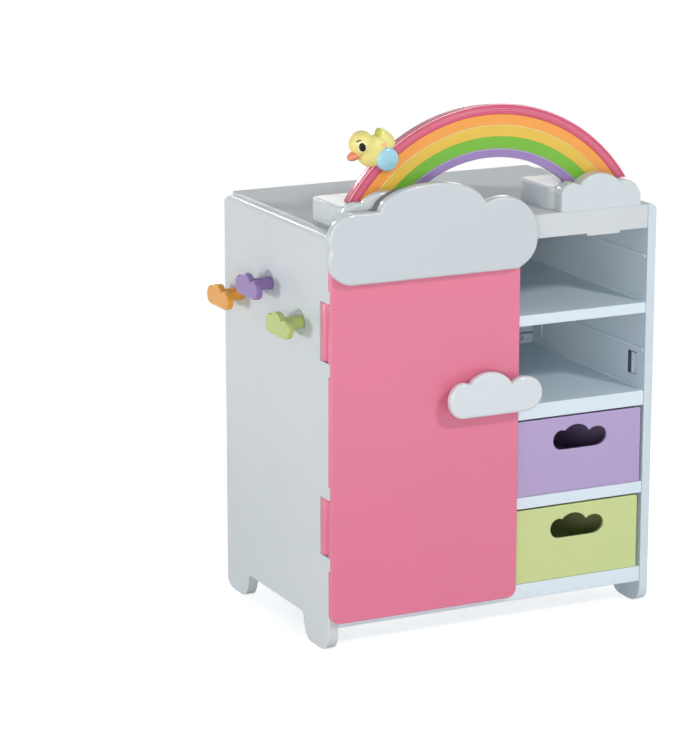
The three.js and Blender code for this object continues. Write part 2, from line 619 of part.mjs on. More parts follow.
/** Outlines of a hanger in y and z: two sloping arms, a neck, and an open hook over the rail. */
function hangerOutlines() {
  const hookCentre = RAIL_LEVEL + RAIL_RADIUS + SEAT_GAP - HANGER_HOOK_INSIDE;
  const outside = HANGER_HOOK_INSIDE + HANGER_HOOK_WALL;
  const armTop = hookCentre - outside - HANGER_NECK_LENGTH;
  const [middleRadius, endRadius] = [HANGER_MIDDLE_HEIGHT / 2, HANGER_END_HEIGHT / 2];
  const middle = [RAIL_SETBACK, armTop - middleRadius];
  const arms = [-1, 1].map((side) => {
    const end = [RAIL_SETBACK + side * (HANGER_LENGTH / 2 - endRadius), armTop - HANGER_DROP];
    return taperedLink(middle, middleRadius, end, endRadius);
  });
  const [left, right] = [-1, 1].map((side) => RAIL_SETBACK + side * HANGER_NECK_WIDTH / 2);
  const [bottom, top] = [armTop - middleRadius, hookCentre - HANGER_HOOK_INSIDE - HANGER_HOOK_WALL / 2];
  const neck = roundedOutline([[left, bottom], [right, bottom], [right, top], [left, top]]);
  const [from, to] = [-Math.PI / 2, 1.5 * Math.PI - HANGER_HOOK_OPENING];
  const hook = new THREE.Shape();
  hook.absarc(RAIL_SETBACK, hookCentre, outside, from, to, false);
  hook.absarc(RAIL_SETBACK, hookCentre, HANGER_HOOK_INSIDE, to, from, true);
  return [...arms, neck, hook];
}

function hanger(x) {
  const [left, right] = [x - HANGER_THICKNESS / 2, x + HANGER_THICKNESS / 2];
  return join(...hangerOutlines().map((shape) => sidePlate(shape, left, right, 0, ROUND_SIDES / 2)));
}

const SIGN_SCREWS = SIGN_SCREW_SHARES.map(
  (share) => [SIGN_LEFT + share * SIGN_WIDTH, SIGN_BOTTOM + SIGN_SCREW_RISE]);
const KNOB_STEMS = KNOB_STEM_SHARES.map(
  (share) => [KNOB_LEFT + share * KNOB_WIDTH, KNOB_BOTTOM + KNOB_STEM_RISE]);

/** Door's hinge knuckle: a round barrel on a web that reaches back into the notch. */
function knuckle(level) {
  const top = level + KNUCKLE_LENGTH;
  const [left, right] = [PIN_X - KNUCKLE_RADIUS, PIN_X + KNUCKLE_RADIUS];
  return join(
    bar([PIN_X, PIN_SETBACK, level], [PIN_X, PIN_SETBACK, top], KNUCKLE_RADIUS, ROUND_SIDES),
    block([left, DOOR_BACK - DOOR_BEVEL, level], [right, PIN_SETBACK, top]),
  );
}

function doorPanel() {
  const outline = roundedOutline([
    [DOOR_LEFT, DOOR_BOTTOM, DOOR_RADIUS], [DOOR_RIGHT, DOOR_BOTTOM, DOOR_RADIUS],
    [DOOR_RIGHT, DOOR_TOP, DOOR_RADIUS], [DOOR_LEFT, DOOR_TOP, DOOR_RADIUS]]);
  let door = frontPlate(outline, DOOR_FRONT, DOOR_BACK, DOOR_BEVEL);
  for (const level of KNUCKLE_PLACES) {
    for (const [bottom, top] of earLevels(level)) {
      door = cut(door, block(
        [DOOR_LEFT - CUT_OVERRUN, -EAR_REACH - EAR_CLEARANCE, bottom - KNUCKLE_GAP],
        [EAR_RELIEF_LENGTH, CUT_OVERRUN, top + KNUCKLE_GAP]));
    }
    door = join(door, knuckle(level));
    door = cut(door, pinBore(level - CUT_OVERRUN, level + KNUCKLE_LENGTH + CUT_OVERRUN));
  }
  const screws = [...SIGN_SCREWS, ...KNOB_STEMS];
  return cut(door, ...screws.map((place) => holeAlongY(place, SIGN_FRONT, CUT_OVERRUN)));
}

const hingePin = (level) => bar(
  [PIN_X, PIN_SETBACK, level - PIN_OVERLAP], [PIN_X, PIN_SETBACK, level + KNUCKLE_LENGTH + PIN_OVERLAP],
  PIN_RADIUS, ROUND_SIDES);

const SIGN_PLACE = { left: SIGN_LEFT, bottom: SIGN_BOTTOM, width: SIGN_WIDTH, height: SIGN_HEIGHT };

function cloudSign() {
  const plate = cloud(SIGN_LOBE_SHARES, SIGN_BAR_SHARES, SIGN_PLACE,
    (shape) => frontPlate(shape, SIGN_FRONT, SIGN_BACK, SIGN_BEVEL, LOBE_STEPS));
  const holeEnd = SIGN_BACK - SIGN_THICKNESS / 2;
  return cut(plate, ...SIGN_SCREWS.map((place) => holeAlongY(place, holeEnd, CUT_OVERRUN)));
}

/** Cover behind the middle lobe of the sign, where it stands above the door. */
function signRearCover() {
  const outline = lobe(SIGN_MIDDLE_LOBE_SHARES, SIGN_PLACE, SIGN_COVER_INSET);
  const rear = SIGN_BACK + SEAT_GAP + SIGN_COVER_DEPTH;
  const below = block(
    [SIGN_LEFT, SIGN_FRONT, 0],
    [SIGN_LEFT + SIGN_WIDTH, rear + CUT_OVERRUN, CABINET_HEIGHT + SIGN_COVER_LIFT]);
  return cut(frontPlate(outline, SIGN_BACK + SEAT_GAP, rear, 0, LOBE_STEPS), below);
}

function doorKnob() {
  const place = { left: KNOB_LEFT, bottom: KNOB_BOTTOM, width: KNOB_WIDTH, height: KNOB_HEIGHT };
  const stemFront = KNOB_BACK - KNOB_BEVEL;
  const plate = knobCloud(place,
    (shape) => frontPlate(shape, KNOB_FRONT, KNOB_BACK, KNOB_BEVEL, SMALL_LOBE_STEPS));
  const stems = KNOB_STEMS.map(([x, z]) => bar(
    [x, stemFront, z], [x, DOOR_FRONT - SEAT_GAP, z], KNOB_STEM_RADIUS, ROUND_SIDES));
  return cut(join(plate, ...stems), ...KNOB_STEMS.map((stem) => holeAlongY(stem, stemFront, CUT_OVERRUN)));
}

/** Cloud on the front edge of the top, in front of one foot of the rainbow. */
function standingCloud(left, front, mirrored) {
  const bottom = CABINET_HEIGHT + SEAT_GAP;
  const place = { left, bottom, width: CLOUD_WIDTH, height: CLOUD_HEIGHT, mirrored };
  return cloud(CLOUD_LOBE_SHARES, CLOUD_BAR_SHARES, place,
    (shape) => frontPlate(shape, front, CLOUD_REAR, CLOUD_BEVEL, SMALL_LOBE_STEPS));
}

/** Drawer moulded in one: a front with a cloud-shaped grip hole, and a tray behind it. */
function drawer(left, floorTop, ceiling) {
  const bottom = floorTop + SEAT_GAP;
  const top = ceiling - DRAWER_TOP_GAP;
  const right = left + DRAWER_WIDTH;
  const [trayLeft, trayRight] = [left + DRAWER_SIDE_INSET, right - DRAWER_SIDE_INSET];
  const box = cut(
    block([trayLeft, 0, bottom], [trayRight, DRAWER_DEPTH, top - DRAWER_SIDE_DROP]),
    block([trayLeft + DRAWER_WALL, DRAWER_FRONT_WALL, bottom + DRAWER_WALL],
      [trayRight - DRAWER_WALL, DRAWER_DEPTH - DRAWER_WALL, top]),
  );
  const front = block([left, 0, bottom], [right, DRAWER_FRONT_WALL, top]);
  const gripBottom = top - GRIP_TOP_INSET - GRIP_HEIGHT;
  const gripLeft = left + (DRAWER_WIDTH - GRIP_WIDTH) / 2 + GRIP_SHIFT;
  const grip = knobCloud(
    { left: gripLeft, bottom: gripBottom, width: GRIP_WIDTH, height: GRIP_HEIGHT },
    (shape) => frontPlate(shape, -CUT_OVERRUN, DRAWER_FRONT_WALL + CUT_OVERRUN, 0, SMALL_LOBE_STEPS));
  return cut(join(box, front), grip);
}

/** Coat hook: a cloud-shaped plate on a round stem that seats in a dimple of the left panel. */
function coatHook(y, z) {
  const plateInner = HOOK_PLATE_THICKNESS - HOOK_REACH;
  const place = {
    left: y - HOOK_PLATE_WIDTH / 2, bottom: z - HOOK_PLATE_HEIGHT / 2,
    width: HOOK_PLATE_WIDTH, height: HOOK_PLATE_HEIGHT, mirrored: true,
  };
  const plate = knobCloud(place,
    (shape) => sidePlate(shape, -HOOK_REACH, plateInner, HOOK_PLATE_BEVEL, SMALL_LOBE_STEPS));
  const stemEnd = HOOK_DIMPLE_DEPTH - SEAT_GAP;
  const stem = bar([plateInner - HOOK_PLATE_BEVEL, y, z], [stemEnd, y, z], HOOK_STEM_RADIUS, ROUND_SIDES);
  const hole = bar([-SCREW_BITE, y, z], [CUT_OVERRUN, y, z], SCREW_RADIUS + SCREW_CLEARANCE);
  return cut(join(plate, stem), hole);
}

/** Screw from inside the cabinet into the stem of a coat hook. */
function coatHookScrew(y, z) {
  const seat = SIDE_THICKNESS + SEAT_GAP;
  return join(
    bar([seat, y, z], [seat + SCREW_HEAD_HEIGHT, y, z], SCREW_HEAD_RADIUS),
    bar([seat + SCREW_HEAD_HEIGHT / 2, y, z], [SEAT_GAP - SCREW_BITE, y, z], SCREW_RADIUS),
  );
}

/** Radii of the rainbow from its rim inwards, one more than it has bands. */
const BAND_RADII = [PINK_BAND, ORANGE_BAND, YELLOW_BAND, GREEN_BAND, PURPLE_BAND].reduce(
  (radii, width) => [...radii, radii.at(-1) - width], [ARCH_RADIUS]);

/** One colour of the rainbow: the ring between two radii, cut level at the plinths. */
function rainbowBand(outer, inner) {
  const rise = PLINTH_TOP + SEAT_GAP - ARCH_Z;
  const [outerFoot, innerFoot] = [Math.asin(rise / outer), Math.asin(rise / inner)];
  const shape = new THREE.Shape();
  shape.absarc(ARCH_X, ARCH_Z, outer, outerFoot, Math.PI - outerFoot, false);
  shape.absarc(ARCH_X, ARCH_Z, inner, Math.PI - innerFoot, innerFoot, true);
  return frontPlate(shape, ARCH_FRONT, ARCH_REAR, 0, ARCH_STEPS);
}

/** Point of the bird, from its seat on the rim of the arch. */
function birdPoint([ahead, up], y = ARCH_MIDDLE) {
  const [x, z] = [Math.cos(BIRD_ANGLE), Math.sin(BIRD_ANGLE)].map((share) => share * ARCH_RADIUS);
  return [ARCH_X + x - ahead, y, ARCH_Z + z + up];
}

/** Ball drawn out to its half sizes, tilted about the line across the bird, at a point of the bird. */
function ball(point, halves, tilt = 0, sides = ROUND_SIDES) {
  const geometry = new THREE.SphereGeometry(1, sides, sides * 2 / 3).rotateX(Math.PI / 2);
  return solid(geometry.scale(...halves).rotateY(tilt).translate(...point));
}

const grown = (halves) => halves.map((half) => half + SEAT_GAP);
const birdHead = (halves) => ball(birdPoint(BIRD_HEAD_PLACE), halves);
const beakShape = (halves) => ball(birdPoint(BEAK_PLACE), halves, BEAK_TILT);
const birdEye = (side, radius) => ball(
  birdPoint(EYE_PLACE, ARCH_MIDDLE + side * EYE_SPREAD), [radius, radius, radius], 0, SMALL_SIDES);

/** Round wing on one side of the bird, which reaches down over the face of the rainbow. */
function birdWing(side, radius = WING_RADIUS, length = WING_THICKNESS) {
  const inner = ARCH_MIDDLE + side * (ARCH_THICKNESS / 2 + SLIDER_GAP);
  const outer = inner + side * length;
  return bar(birdPoint(WING_PLACE, inner), birdPoint(WING_PLACE, outer), radius, ROUND_SIDES);
}

/** Disc of the arch with its clearance, which the bird's body sits astride. */
function archSpace() {
  return bar([ARCH_X, ARCH_FRONT - SLIDER_GAP, ARCH_Z], [ARCH_X, ARCH_REAR + SLIDER_GAP, ARCH_Z],
    ARCH_RADIUS + SLIDER_GAP, ARCH_STEPS * 4);
}

function birdBody() {
  const whole = join(
    ball(birdPoint(BIRD_BODY_PLACE), BIRD_BODY_HALVES),
    birdHead(BIRD_HEAD_HALVES),
    ball(birdPoint(BIRD_TAIL_PLACE), BIRD_TAIL_HALVES, BIRD_TAIL_TILT),
  );
  const reach = 2 * BIRD_BODY_HALVES[0];
  const [x, y, z] = birdPoint([0, -BIRD_SOLE_DROP]);
  const below = block([x - reach, y - reach, z - reach], [x + reach, y + reach, z]);
  const spaces = [-1, 1].flatMap((side) => [
    birdWing(side, WING_RADIUS + SEAT_GAP, BIRD_BODY_HALVES[1]),
    birdEye(side, EYE_RADIUS + SEAT_GAP),
  ]);
  return cut(whole, archSpace(), below, beakShape(grown(BEAK_HALVES)), ...spaces);
}

const birdBeak = () => beakShape(BEAK_HALVES);

const wardrobe = new THREE.Group();

/** Adds one named piece to the wardrobe. */
function add(name, piece, material) {
  const mesh = new THREE.Mesh(geometryOf(piece), material);
  mesh.name = name;
  wardrobe.add(mesh);
}

add("left_side_panel", leftSidePanel(), WHITE);
add("right_side_panel", rightSidePanel(), WHITE);
add("top_panel", topPanel(), WHITE);
add("bottom_panel", bottomPanel(), WHITE);
add("divider_panel", dividerPanel(), WHITE);
add("back_panel", backPanel(), WHITE);
add("shelf_lower", shelf(LOWER_SHELF_TOP, LOWER_SHELF_EDGE), WHITE);
add("shelf_middle", shelf(MIDDLE_SHELF_TOP, MIDDLE_SHELF_EDGE), WHITE);
add("shelf_upper", shelf(UPPER_SHELF_TOP, UPPER_SHELF_EDGE), WHITE);
BACK_SCREWS.forEach((place, index) => {
  const seat = BACK_FRONT_FACE + BACK_THICKNESS + SEAT_GAP;
  add(`back_screw_${index + 1}`, screwAlongY(place, seat, 1, BACK_THICKNESS + SCREW_BITE), STEEL);
});

add("rail_socket_left", railSocket(INNER_LEFT, 1), WHITE);
add("rail_socket_right", railSocket(DIVIDER_LEFT, -1), WHITE);
add("clothes_rail", clothesRail(), WHITE);
["pink", "green", "purple"].forEach((color, index) => {
  const x = INNER_LEFT + HANGER_PLACE_SHARES[index] * (DIVIDER_LEFT - INNER_LEFT);
  add(`hanger_${color}`, hanger(x), HANGER_PLASTICS[index]);
});

["green", "purple", "orange"].forEach((color, index) => {
  add(`coat_hook_${color}`, coatHook(...HOOK_PLACES[index]), HOOK_PLASTICS[index]);
  add(`coat_hook_screw_${color}`, coatHookScrew(...HOOK_PLACES[index]), STEEL);
});

add("door_panel", doorPanel(), PINK);
["lower", "upper"].forEach((place, index) => {
  add(`hinge_pin_${place}`, hingePin(KNUCKLE_PLACES[index]), STEEL);
});
add("cloud_sign", cloudSign(), WHITE);
add("sign_rear_cover", signRearCover(), GREY);
add("door_knob", doorKnob(), WHITE);
["left", "right"].forEach((side, index) => {
  const seat = DOOR_BACK + SEAT_GAP;
  const [signBite, knobBite] = [SIGN_THICKNESS / 2, KNOB_STANDOFF];
  add(`sign_screw_${side}`, screwAlongY(SIGN_SCREWS[index], seat, 1, DOOR_THICKNESS + signBite), STEEL);
  add(`knob_screw_${side}`, screwAlongY(KNOB_STEMS[index], seat, 1, DOOR_THICKNESS + knobBite), STEEL);
});

const purpleCeiling = MIDDLE_SHELF_TOP - MIDDLE_SHELF_EDGE;
const greenCeiling = LOWER_SHELF_TOP - LOWER_SHELF_EDGE;
add("purple_drawer", drawer(DIVIDER_RIGHT + PURPLE_DRAWER_GAP, LOWER_SHELF_TOP, purpleCeiling), PURPLE);
add("green_drawer", drawer(DIVIDER_RIGHT + GREEN_DRAWER_GAP, BOTTOM_TOP, greenCeiling), GREEN);

add("plinth_left", plinth(PLINTH_SIDE), WHITE);
add("plinth_right", plinth(CABINET_WIDTH - PLINTH_SIDE - PLINTH_LENGTH), WHITE);
const rightCloudLeft = CABINET_WIDTH - RIGHT_CLOUD_INSET - CLOUD_WIDTH;
add("cloud_left", standingCloud(LEFT_CLOUD_INSET, LEFT_CLOUD_FRONT, true), WHITE);
add("cloud_right", standingCloud(rightCloudLeft, RIGHT_CLOUD_FRONT, false), WHITE);
["pink", "orange", "yellow", "green", "purple"].forEach((color, index) => {
  const outer = BAND_RADII[index] - (index ? SEAT_GAP : 0);
  add(`rainbow_${color}`, rainbowBand(outer, BAND_RADII[index + 1]), BAND_PLASTICS[index]);
});

add("bird_body", birdBody(), BIRD_YELLOW);
add("bird_beak", birdBeak(), BEAK_ORANGE);
["front", "rear"].forEach((side, index) => {
  add(`bird_wing_${side}`, birdWing(2 * index - 1), AQUA);
  add(`bird_eye_${side}`, birdEye(2 * index - 1, EYE_RADIUS), BLACK);
});

wardrobe.position.set(-(CABINET_WIDTH - HOOK_REACH) / 2, -(CABINET_DEPTH + KNOB_FRONT) / 2, 0);

export default wardrobe;
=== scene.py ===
import math

import bmesh
import bpy
import numpy as np
from mathutils import Matrix, Vector


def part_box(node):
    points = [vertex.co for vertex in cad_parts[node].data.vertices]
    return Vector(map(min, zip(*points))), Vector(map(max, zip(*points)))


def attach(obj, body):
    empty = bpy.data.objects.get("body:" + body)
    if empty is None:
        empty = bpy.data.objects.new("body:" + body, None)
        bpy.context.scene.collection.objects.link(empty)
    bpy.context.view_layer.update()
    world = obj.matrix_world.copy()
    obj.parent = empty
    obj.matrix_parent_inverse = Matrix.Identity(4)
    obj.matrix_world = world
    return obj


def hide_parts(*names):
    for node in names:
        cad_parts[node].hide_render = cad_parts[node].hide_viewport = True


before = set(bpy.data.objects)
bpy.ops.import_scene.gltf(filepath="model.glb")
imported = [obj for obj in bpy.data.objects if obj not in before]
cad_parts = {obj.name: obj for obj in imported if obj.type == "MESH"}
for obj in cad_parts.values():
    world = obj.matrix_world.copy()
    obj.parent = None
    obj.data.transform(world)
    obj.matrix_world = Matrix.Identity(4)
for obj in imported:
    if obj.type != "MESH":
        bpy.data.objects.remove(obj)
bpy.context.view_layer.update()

# Studio: a white floor without edges, pale air, and soft boxes in front, at both sides, behind and
# above. The camera stands where the photograph was taken from, to the left of the front and above.
CAMERA_PLACE = (-1.34125, -2.55139, 0.95211)
CAMERA_RIGHT = (0.8989, -0.4382, 0.0)
CAMERA_UP = (0.1069, 0.2193, 0.9697)
CAMERA_BACK = (-0.4246, -0.8717, 0.2440)
FILM_WIDTH = 36
LENS_LENGTH = 146.94
LENS_SHIFT = (-0.0009, 0.0011)
FLOOR_RADIUS = 14.0
FLOOR_LIT_RADIUS = 0.5
FLOOR_WHITE_RADIUS = 1.0
FLOOR_GLOW = 0.65
AIR_LOW = 0.62
AIR_HIGH = 0.05
AIR_COLOR = (0.83, 0.96, 1.08, 1)
LAMP_COLOR = (1, 0.975, 0.945)


def node_maker(tree):
    """Function that adds a node to a tree. An input is set to its value, or linked if that is a socket."""
    def add(kind, inputs=(), **settings):
        node = tree.nodes.new(kind)
        for setting, value in settings.items():
            setattr(node, setting, value)
        for socket, value in dict(inputs).items():
            if isinstance(value, bpy.types.NodeSocket):
                tree.links.new(value, node.inputs[socket])
            else:
                node.inputs[socket].default_value = value
        return node
    return add


def empty_tree(owner):
    """Function that adds nodes to a new material or world, from which the nodes it came with are cleared."""
    owner.use_nodes = True
    owner.node_tree.nodes.clear()
    return node_maker(owner.node_tree)


def seen_rays(add):
    """Sockets of the light path, and 1 for camera, glossy and transmission rays or 0 for rays that only
    carry light."""
    path = add("ShaderNodeLightPath").outputs
    first = add("ShaderNodeMath", {0: path["Is Camera Ray"], 1: path["Is Glossy Ray"]}, operation="MAXIMUM")
    second = add("ShaderNodeMath", {0: first.outputs[0], 1: path["Is Transmission Ray"]}, operation="MAXIMUM")
    return path, second.outputs[0]


def pale_air():
    """World that is plain white where it is seen. Its light is stronger from the sides than from above."""
    world = bpy.data.worlds.new("pale air")
    add = empty_tree(world)
    _, seen = seen_rays(add)
    height = add("ShaderNodeSeparateXYZ", {0: add("ShaderNodeTexCoord").outputs["Generated"]})
    fall = add("ShaderNodeMapRange", {
        "Value": height.outputs["Z"], "From Min": 0.05, "From Max": 0.9,
        "To Min": AIR_LOW, "To Max": AIR_HIGH})
    light = add("ShaderNodeBackground", {"Color": AIR_COLOR, "Strength": fall.outputs[0]})
    white = add("ShaderNodeBackground", {"Color": (1, 1, 1, 1), "Strength": 1.0})
    mix = add("ShaderNodeMixShader", {0: seen, 1: light.outputs[0], 2: white.outputs[0]})
    add("ShaderNodeOutputWorld", {"Surface": mix.outputs[0]})
    return world


def floor_paper():
    """White paper: it takes the shadow near the object, and is plain white further out where it is seen."""
    material = bpy.data.materials.new("floor paper")
    add = empty_tree(material)
    path, seen = seen_rays(add)
    place = add("ShaderNodeTexCoord").outputs["Object"]
    fibres = add("ShaderNodeTexNoise", {"Vector": place, "Scale": 350.0, "Detail": 2.0})
    bump = add("ShaderNodeBump", {"Strength": 0.05, "Distance": 0.0002, "Height": fibres.outputs["Fac"]})
    paper = add("ShaderNodeBsdfPrincipled", {
        "Base Color": (0.8, 0.8, 0.8, 1), "Roughness": 0.9, "Specular IOR Level": 0.1,
        "Normal": bump.outputs[0]})
    strength = add("ShaderNodeMath", {0: path["Is Camera Ray"], 1: FLOOR_GLOW}, operation="MULTIPLY")
    glow = add("ShaderNodeEmission", {"Color": (1, 1, 1, 1), "Strength": strength.outputs[0]})
    lit = add("ShaderNodeAddShader", {0: paper.outputs[0], 1: glow.outputs[0]})
    white = add("ShaderNodeEmission", {"Color": (1, 1, 1, 1), "Strength": 1.0})
    distance = add("ShaderNodeVectorMath", {0: place}, operation="LENGTH")
    fade = add("ShaderNodeMapRange", {
        "Value": distance.outputs["Value"], "From Min": FLOOR_LIT_RADIUS, "From Max": FLOOR_WHITE_RADIUS},
        interpolation_type="SMOOTHSTEP")
    share = add("ShaderNodeMath", {0: fade.outputs[0], 1: seen}, operation="MULTIPLY")
    mix = add("ShaderNodeMixShader", {0: share.outputs[0], 1: lit.outputs[0], 2: white.outputs[0]})
    add("ShaderNodeOutputMaterial", {"Surface": mix.outputs[0]})
    return material


def soft_box(name, place, target, size, power):
    """Rectangular lamp at a place, turned to a target."""
    lamp = bpy.data.lights.new(name, "AREA")
    lamp.shape, lamp.energy = "RECTANGLE", power
    lamp.size, lamp.size_y = size
    lamp.color = LAMP_COLOR
    stand = bpy.data.objects.new(name, lamp)
    stand.location = place
    stand.rotation_euler = (Vector(target) - Vector(place)).to_track_quat("-Z", "Y").to_euler()
    bpy.context.scene.collection.objects.link(stand)


turns = np.linspace(0, 2 * math.pi, 96, endpoint=False)
floor_mesh = bpy.data.meshes.new("floor")
floor_mesh.from_pydata(
    np.stack([FLOOR_RADIUS * np.cos(turns), FLOOR_RADIUS * np.sin(turns), 0 * turns], 1).tolist(),
    [], [list(range(len(turns)))])
floor_mesh.materials.append(floor_paper())
floor = bpy.data.objects.new("floor", floor_mesh)
bpy.context.scene.collection.objects.link(floor)

bpy.context.scene.world = pale_air()
bpy.context.scene.view_settings.view_transform = "Standard"
soft_box("key box", (0.9, -2.2, 1.9), (0, 0, 0.25), (0.3, 0.3), 25)
soft_box("front box", (-1.4, -2.5, 0.6), (0, 0, 0.25), (0.9, 0.6), 26)
soft_box("left box", (-2.3, 0.1, 0.3), (0, 0, 0.25), (0.35, 0.35), 14.5)
soft_box("top spark", (1.05, -0.55, 2.4), (0, 0, 0.4), (0.16, 0.16), 3)
soft_box("left spark", (-1.45, -1.6, 1.85), (0, 0, 0.4), (0.12, 0.12), 2)
soft_box("rear spark", (-0.6, 2.2, 1.4), (0, 0, 0.4), (0.3, 0.12), 8)
soft_box("right box", (2.4, 0.3, 0.5), (0, 0, 0.3), (1.0, 0.8), 11)
soft_box("rear box", (0.5, 2.0, 0.5), (0, 0, 0.3), (1.4, 1.0), 12)

camera = bpy.data.cameras.new("camera")
camera.sensor_width, camera.lens, camera.clip_end = FILM_WIDTH, LENS_LENGTH, 40
camera.shift_x, camera.shift_y = LENS_SHIFT
tripod = bpy.data.objects.new("camera", camera)
turn = Matrix((CAMERA_RIGHT, CAMERA_UP, CAMERA_BACK)).transposed().to_4x4()
tripod.matrix_world = Matrix.Translation(CAMERA_PLACE) @ turn
bpy.context.scene.collection.objects.link(tripod)
bpy.context.scene.camera = tripod

# Side panels: two hollow boards of white plastic with feet, moulded in one piece each. The left
# one carries the hinge ears and the dimples of the hooks, the right one two ledges and a pocket.
MM = 0.001
PANEL_EDGE = 0.6
FLAT_ANGLE = math.radians(0.5)
SHARP_ANGLE = math.radians(40)


def linear(red, green, blue):
    """Colour from 0 to 255 as Blender's linear one: ((c + 0.055) / 1.055) to the power 2.4, or c / 12.92
    where it is dark."""
    shares = np.array([red, green, blue]) / 255
    values = np.where(shares > 0.04045, ((shares + 0.055) / 1.055) ** 2.4, shares / 12.92)
    return (*values.tolist(), 1.0)


def new_group(name, inputs, outputs):
    """Node group with its sockets, a function that adds nodes to it, and the sockets of what comes in."""
    group = bpy.data.node_groups.new(name, "ShaderNodeTree")
    for direction, sockets in (("INPUT", inputs), ("OUTPUT", outputs)):
        for socket, kind in sockets.items():
            group.interface.new_socket(socket, in_out=direction, socket_type=f"NodeSocket{kind}")
    add = node_maker(group)
    return group, add, add("NodeGroupInput").outputs


def plastic_skin():
    """Node group for moulded plastic. The colour is mottled by slow noise, the roughness by a finer
    one, and the normal comes from a slow waviness of the wall and the fine grain of the mould."""
    group, add, given = new_group(
        "moulded skin",
        {"Color": "Color", "Mottle": "Float", "Roughness": "Float", "Grain Size": "Float",
         "Grain Depth": "Float", "Waviness": "Float"},
        {"Color": "Color", "Roughness": "Float", "Normal": "Vector"})
    place = add("ShaderNodeTexCoord").outputs["Object"]
    slow = add("ShaderNodeTexNoise", {"Vector": place, "Scale": 14.0, "Detail": 2.0}).outputs["Fac"]
    middle = add("ShaderNodeTexNoise", {"Vector": place, "Scale": 130.0, "Detail": 3.0}).outputs["Fac"]
    grain = add("ShaderNodeTexNoise", {"Vector": place, "Scale": given["Grain Size"], "Detail": 1.0})
    cloudy = add("ShaderNodeMapRange", {"Value": slow, "To Min": -0.5, "To Max": 0.5})
    amount = add("ShaderNodeMath", {0: cloudy.outputs[0], 1: given["Mottle"]}, operation="MULTIPLY")
    scaled = add("ShaderNodeMath", {0: amount.outputs[0], 1: 1.0}, operation="ADD")
    tint = add("ShaderNodeVectorMath", {0: given["Color"], "Scale": scaled.outputs[0]}, operation="SCALE")
    spread = add("ShaderNodeMapRange", {"Value": middle, "To Min": -0.05, "To Max": 0.05})
    rough = add("ShaderNodeMath", {0: spread.outputs[0], 1: given["Roughness"]}, operation="ADD")
    wave = add("ShaderNodeBump", {"Strength": given["Waviness"], "Distance": 0.01, "Height": slow})
    fine = add("ShaderNodeBump", {
        "Strength": given["Grain Depth"], "Distance": 0.0002, "Height": grain.outputs["Fac"],
        "Normal": wave.outputs[0]})
    add("NodeGroupOutput", {
        "Color": tint.outputs[0], "Roughness": rough.outputs[0], "Normal": fine.outputs[0]})
    return group


SKIN = plastic_skin()


def skin_material(name, skin_values, shader_values, marks=()):
    """Material of the moulded skin under one shader. Each mark, given as (group, its values, colour), lays
    its colour over the skin's own where the mask of the group is 1."""
    material = bpy.data.materials.new(name)
    add = empty_tree(material)
    skin = add("ShaderNodeGroup", node_tree=SKIN)
    for socket, value in zip(skin.inputs, skin_values):
        socket.default_value = value
    color = skin.outputs["Color"]
    for group, values, paint in marks:
        mask = add("ShaderNodeGroup", values, node_tree=group).outputs["Mask"]
        color = add("ShaderNodeMix", {0: mask, 6: color, 7: paint}, data_type="RGBA").outputs[2]
    shader = add("ShaderNodeBsdfPrincipled", {
        "Base Color": color, "Roughness": skin.outputs["Roughness"], "Normal": skin.outputs["Normal"],
        **shader_values})
    add("ShaderNodeOutputMaterial", {"Surface": shader.outputs[0]})
    return material


def plastic(name, color, roughness=0.36, mottle=0.05, grain_size=1400.0, grain_depth=0.12,
            waviness=0.05, coat=0.0, shine=0.5, marks=()):
    """Material of one moulded plastic, with a clear gloss on top where it has a coat, and painted marks."""
    return skin_material(
        name, (color, mottle, roughness, grain_size, grain_depth, waviness),
        {"Specular IOR Level": shine, "Coat Weight": coat, "Coat Roughness": 0.12}, marks)


WHITE_PLASTIC = plastic("white plastic", linear(212, 217, 220), 0.34, shine=0.15, coat=0.12)


def round_edges(name, material, edge):
    """Keeps a CAD board: its flat faces are merged, its sharp edges rounded, and its faces kept flat."""
    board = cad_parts[name]
    board.modifiers.new("joined corners", "WELD").merge_threshold = 0.01 * MM
    flat = board.modifiers.new("whole faces", "DECIMATE")
    flat.decimate_type, flat.angle_limit = "DISSOLVE", FLAT_ANGLE
    bevel = board.modifiers.new("rounded edges", "BEVEL")
    bevel.width, bevel.segments = edge * MM, 3
    bevel.limit_method, bevel.angle_limit = "ANGLE", SHARP_ANGLE
    board.modifiers.new("even faces", "WEIGHTED_NORMAL").keep_sharp = True
    board.data.polygons.foreach_set("use_smooth", [True] * len(board.data.polygons))
    board.data.materials.clear()
    board.data.materials.append(material)


# The right side is the white plastic made bluer: painted bluish shade for its inner wall in the bays.
SHADED_RIGHT_PLASTIC = plastic("right side plastic with painted shade", linear(212, 224, 232), 0.42, shine=0.15)
round_edges("left_side_panel", WHITE_PLASTIC, PANEL_EDGE)
round_edges("right_side_panel", SHADED_RIGHT_PLASTIC, PANEL_EDGE)

# Boards between the sides: the bottom, the divider, three shelves, the top with its downturned
# front, and a thin back sheet. All are white plastic, and they slot into the side panels. The two
# cups of the clothes rail stand on the left side and the divider.
BOARD_EDGE = 0.9
BACK_EDGE = 0.4
# The boards and the back are the white plastic made paler and bluer: painted light and bluish shade of the
# bays.
BAY_LIT_BOARD_PLASTIC = plastic("board plastic with painted bay light", linear(223, 236, 244), 0.42, shine=0.15)
TOP_PLASTIC = plastic("top plastic", linear(212, 217, 219), 0.5, shine=0.05)
BAY_LIT_BACK_PLASTIC = plastic("back plastic with painted bay light", linear(226, 236, 242), 0.42, shine=0.15)
for name in ("bottom_panel", "divider_panel", "shelf_lower", "shelf_middle", "shelf_upper",
             "rail_socket_left", "rail_socket_right"):
    round_edges(name, BAY_LIT_BOARD_PLASTIC, BOARD_EDGE)
round_edges("top_panel", TOP_PLASTIC, BOARD_EDGE)
round_edges("back_panel", BAY_LIT_BACK_PLASTIC, BACK_EDGE)

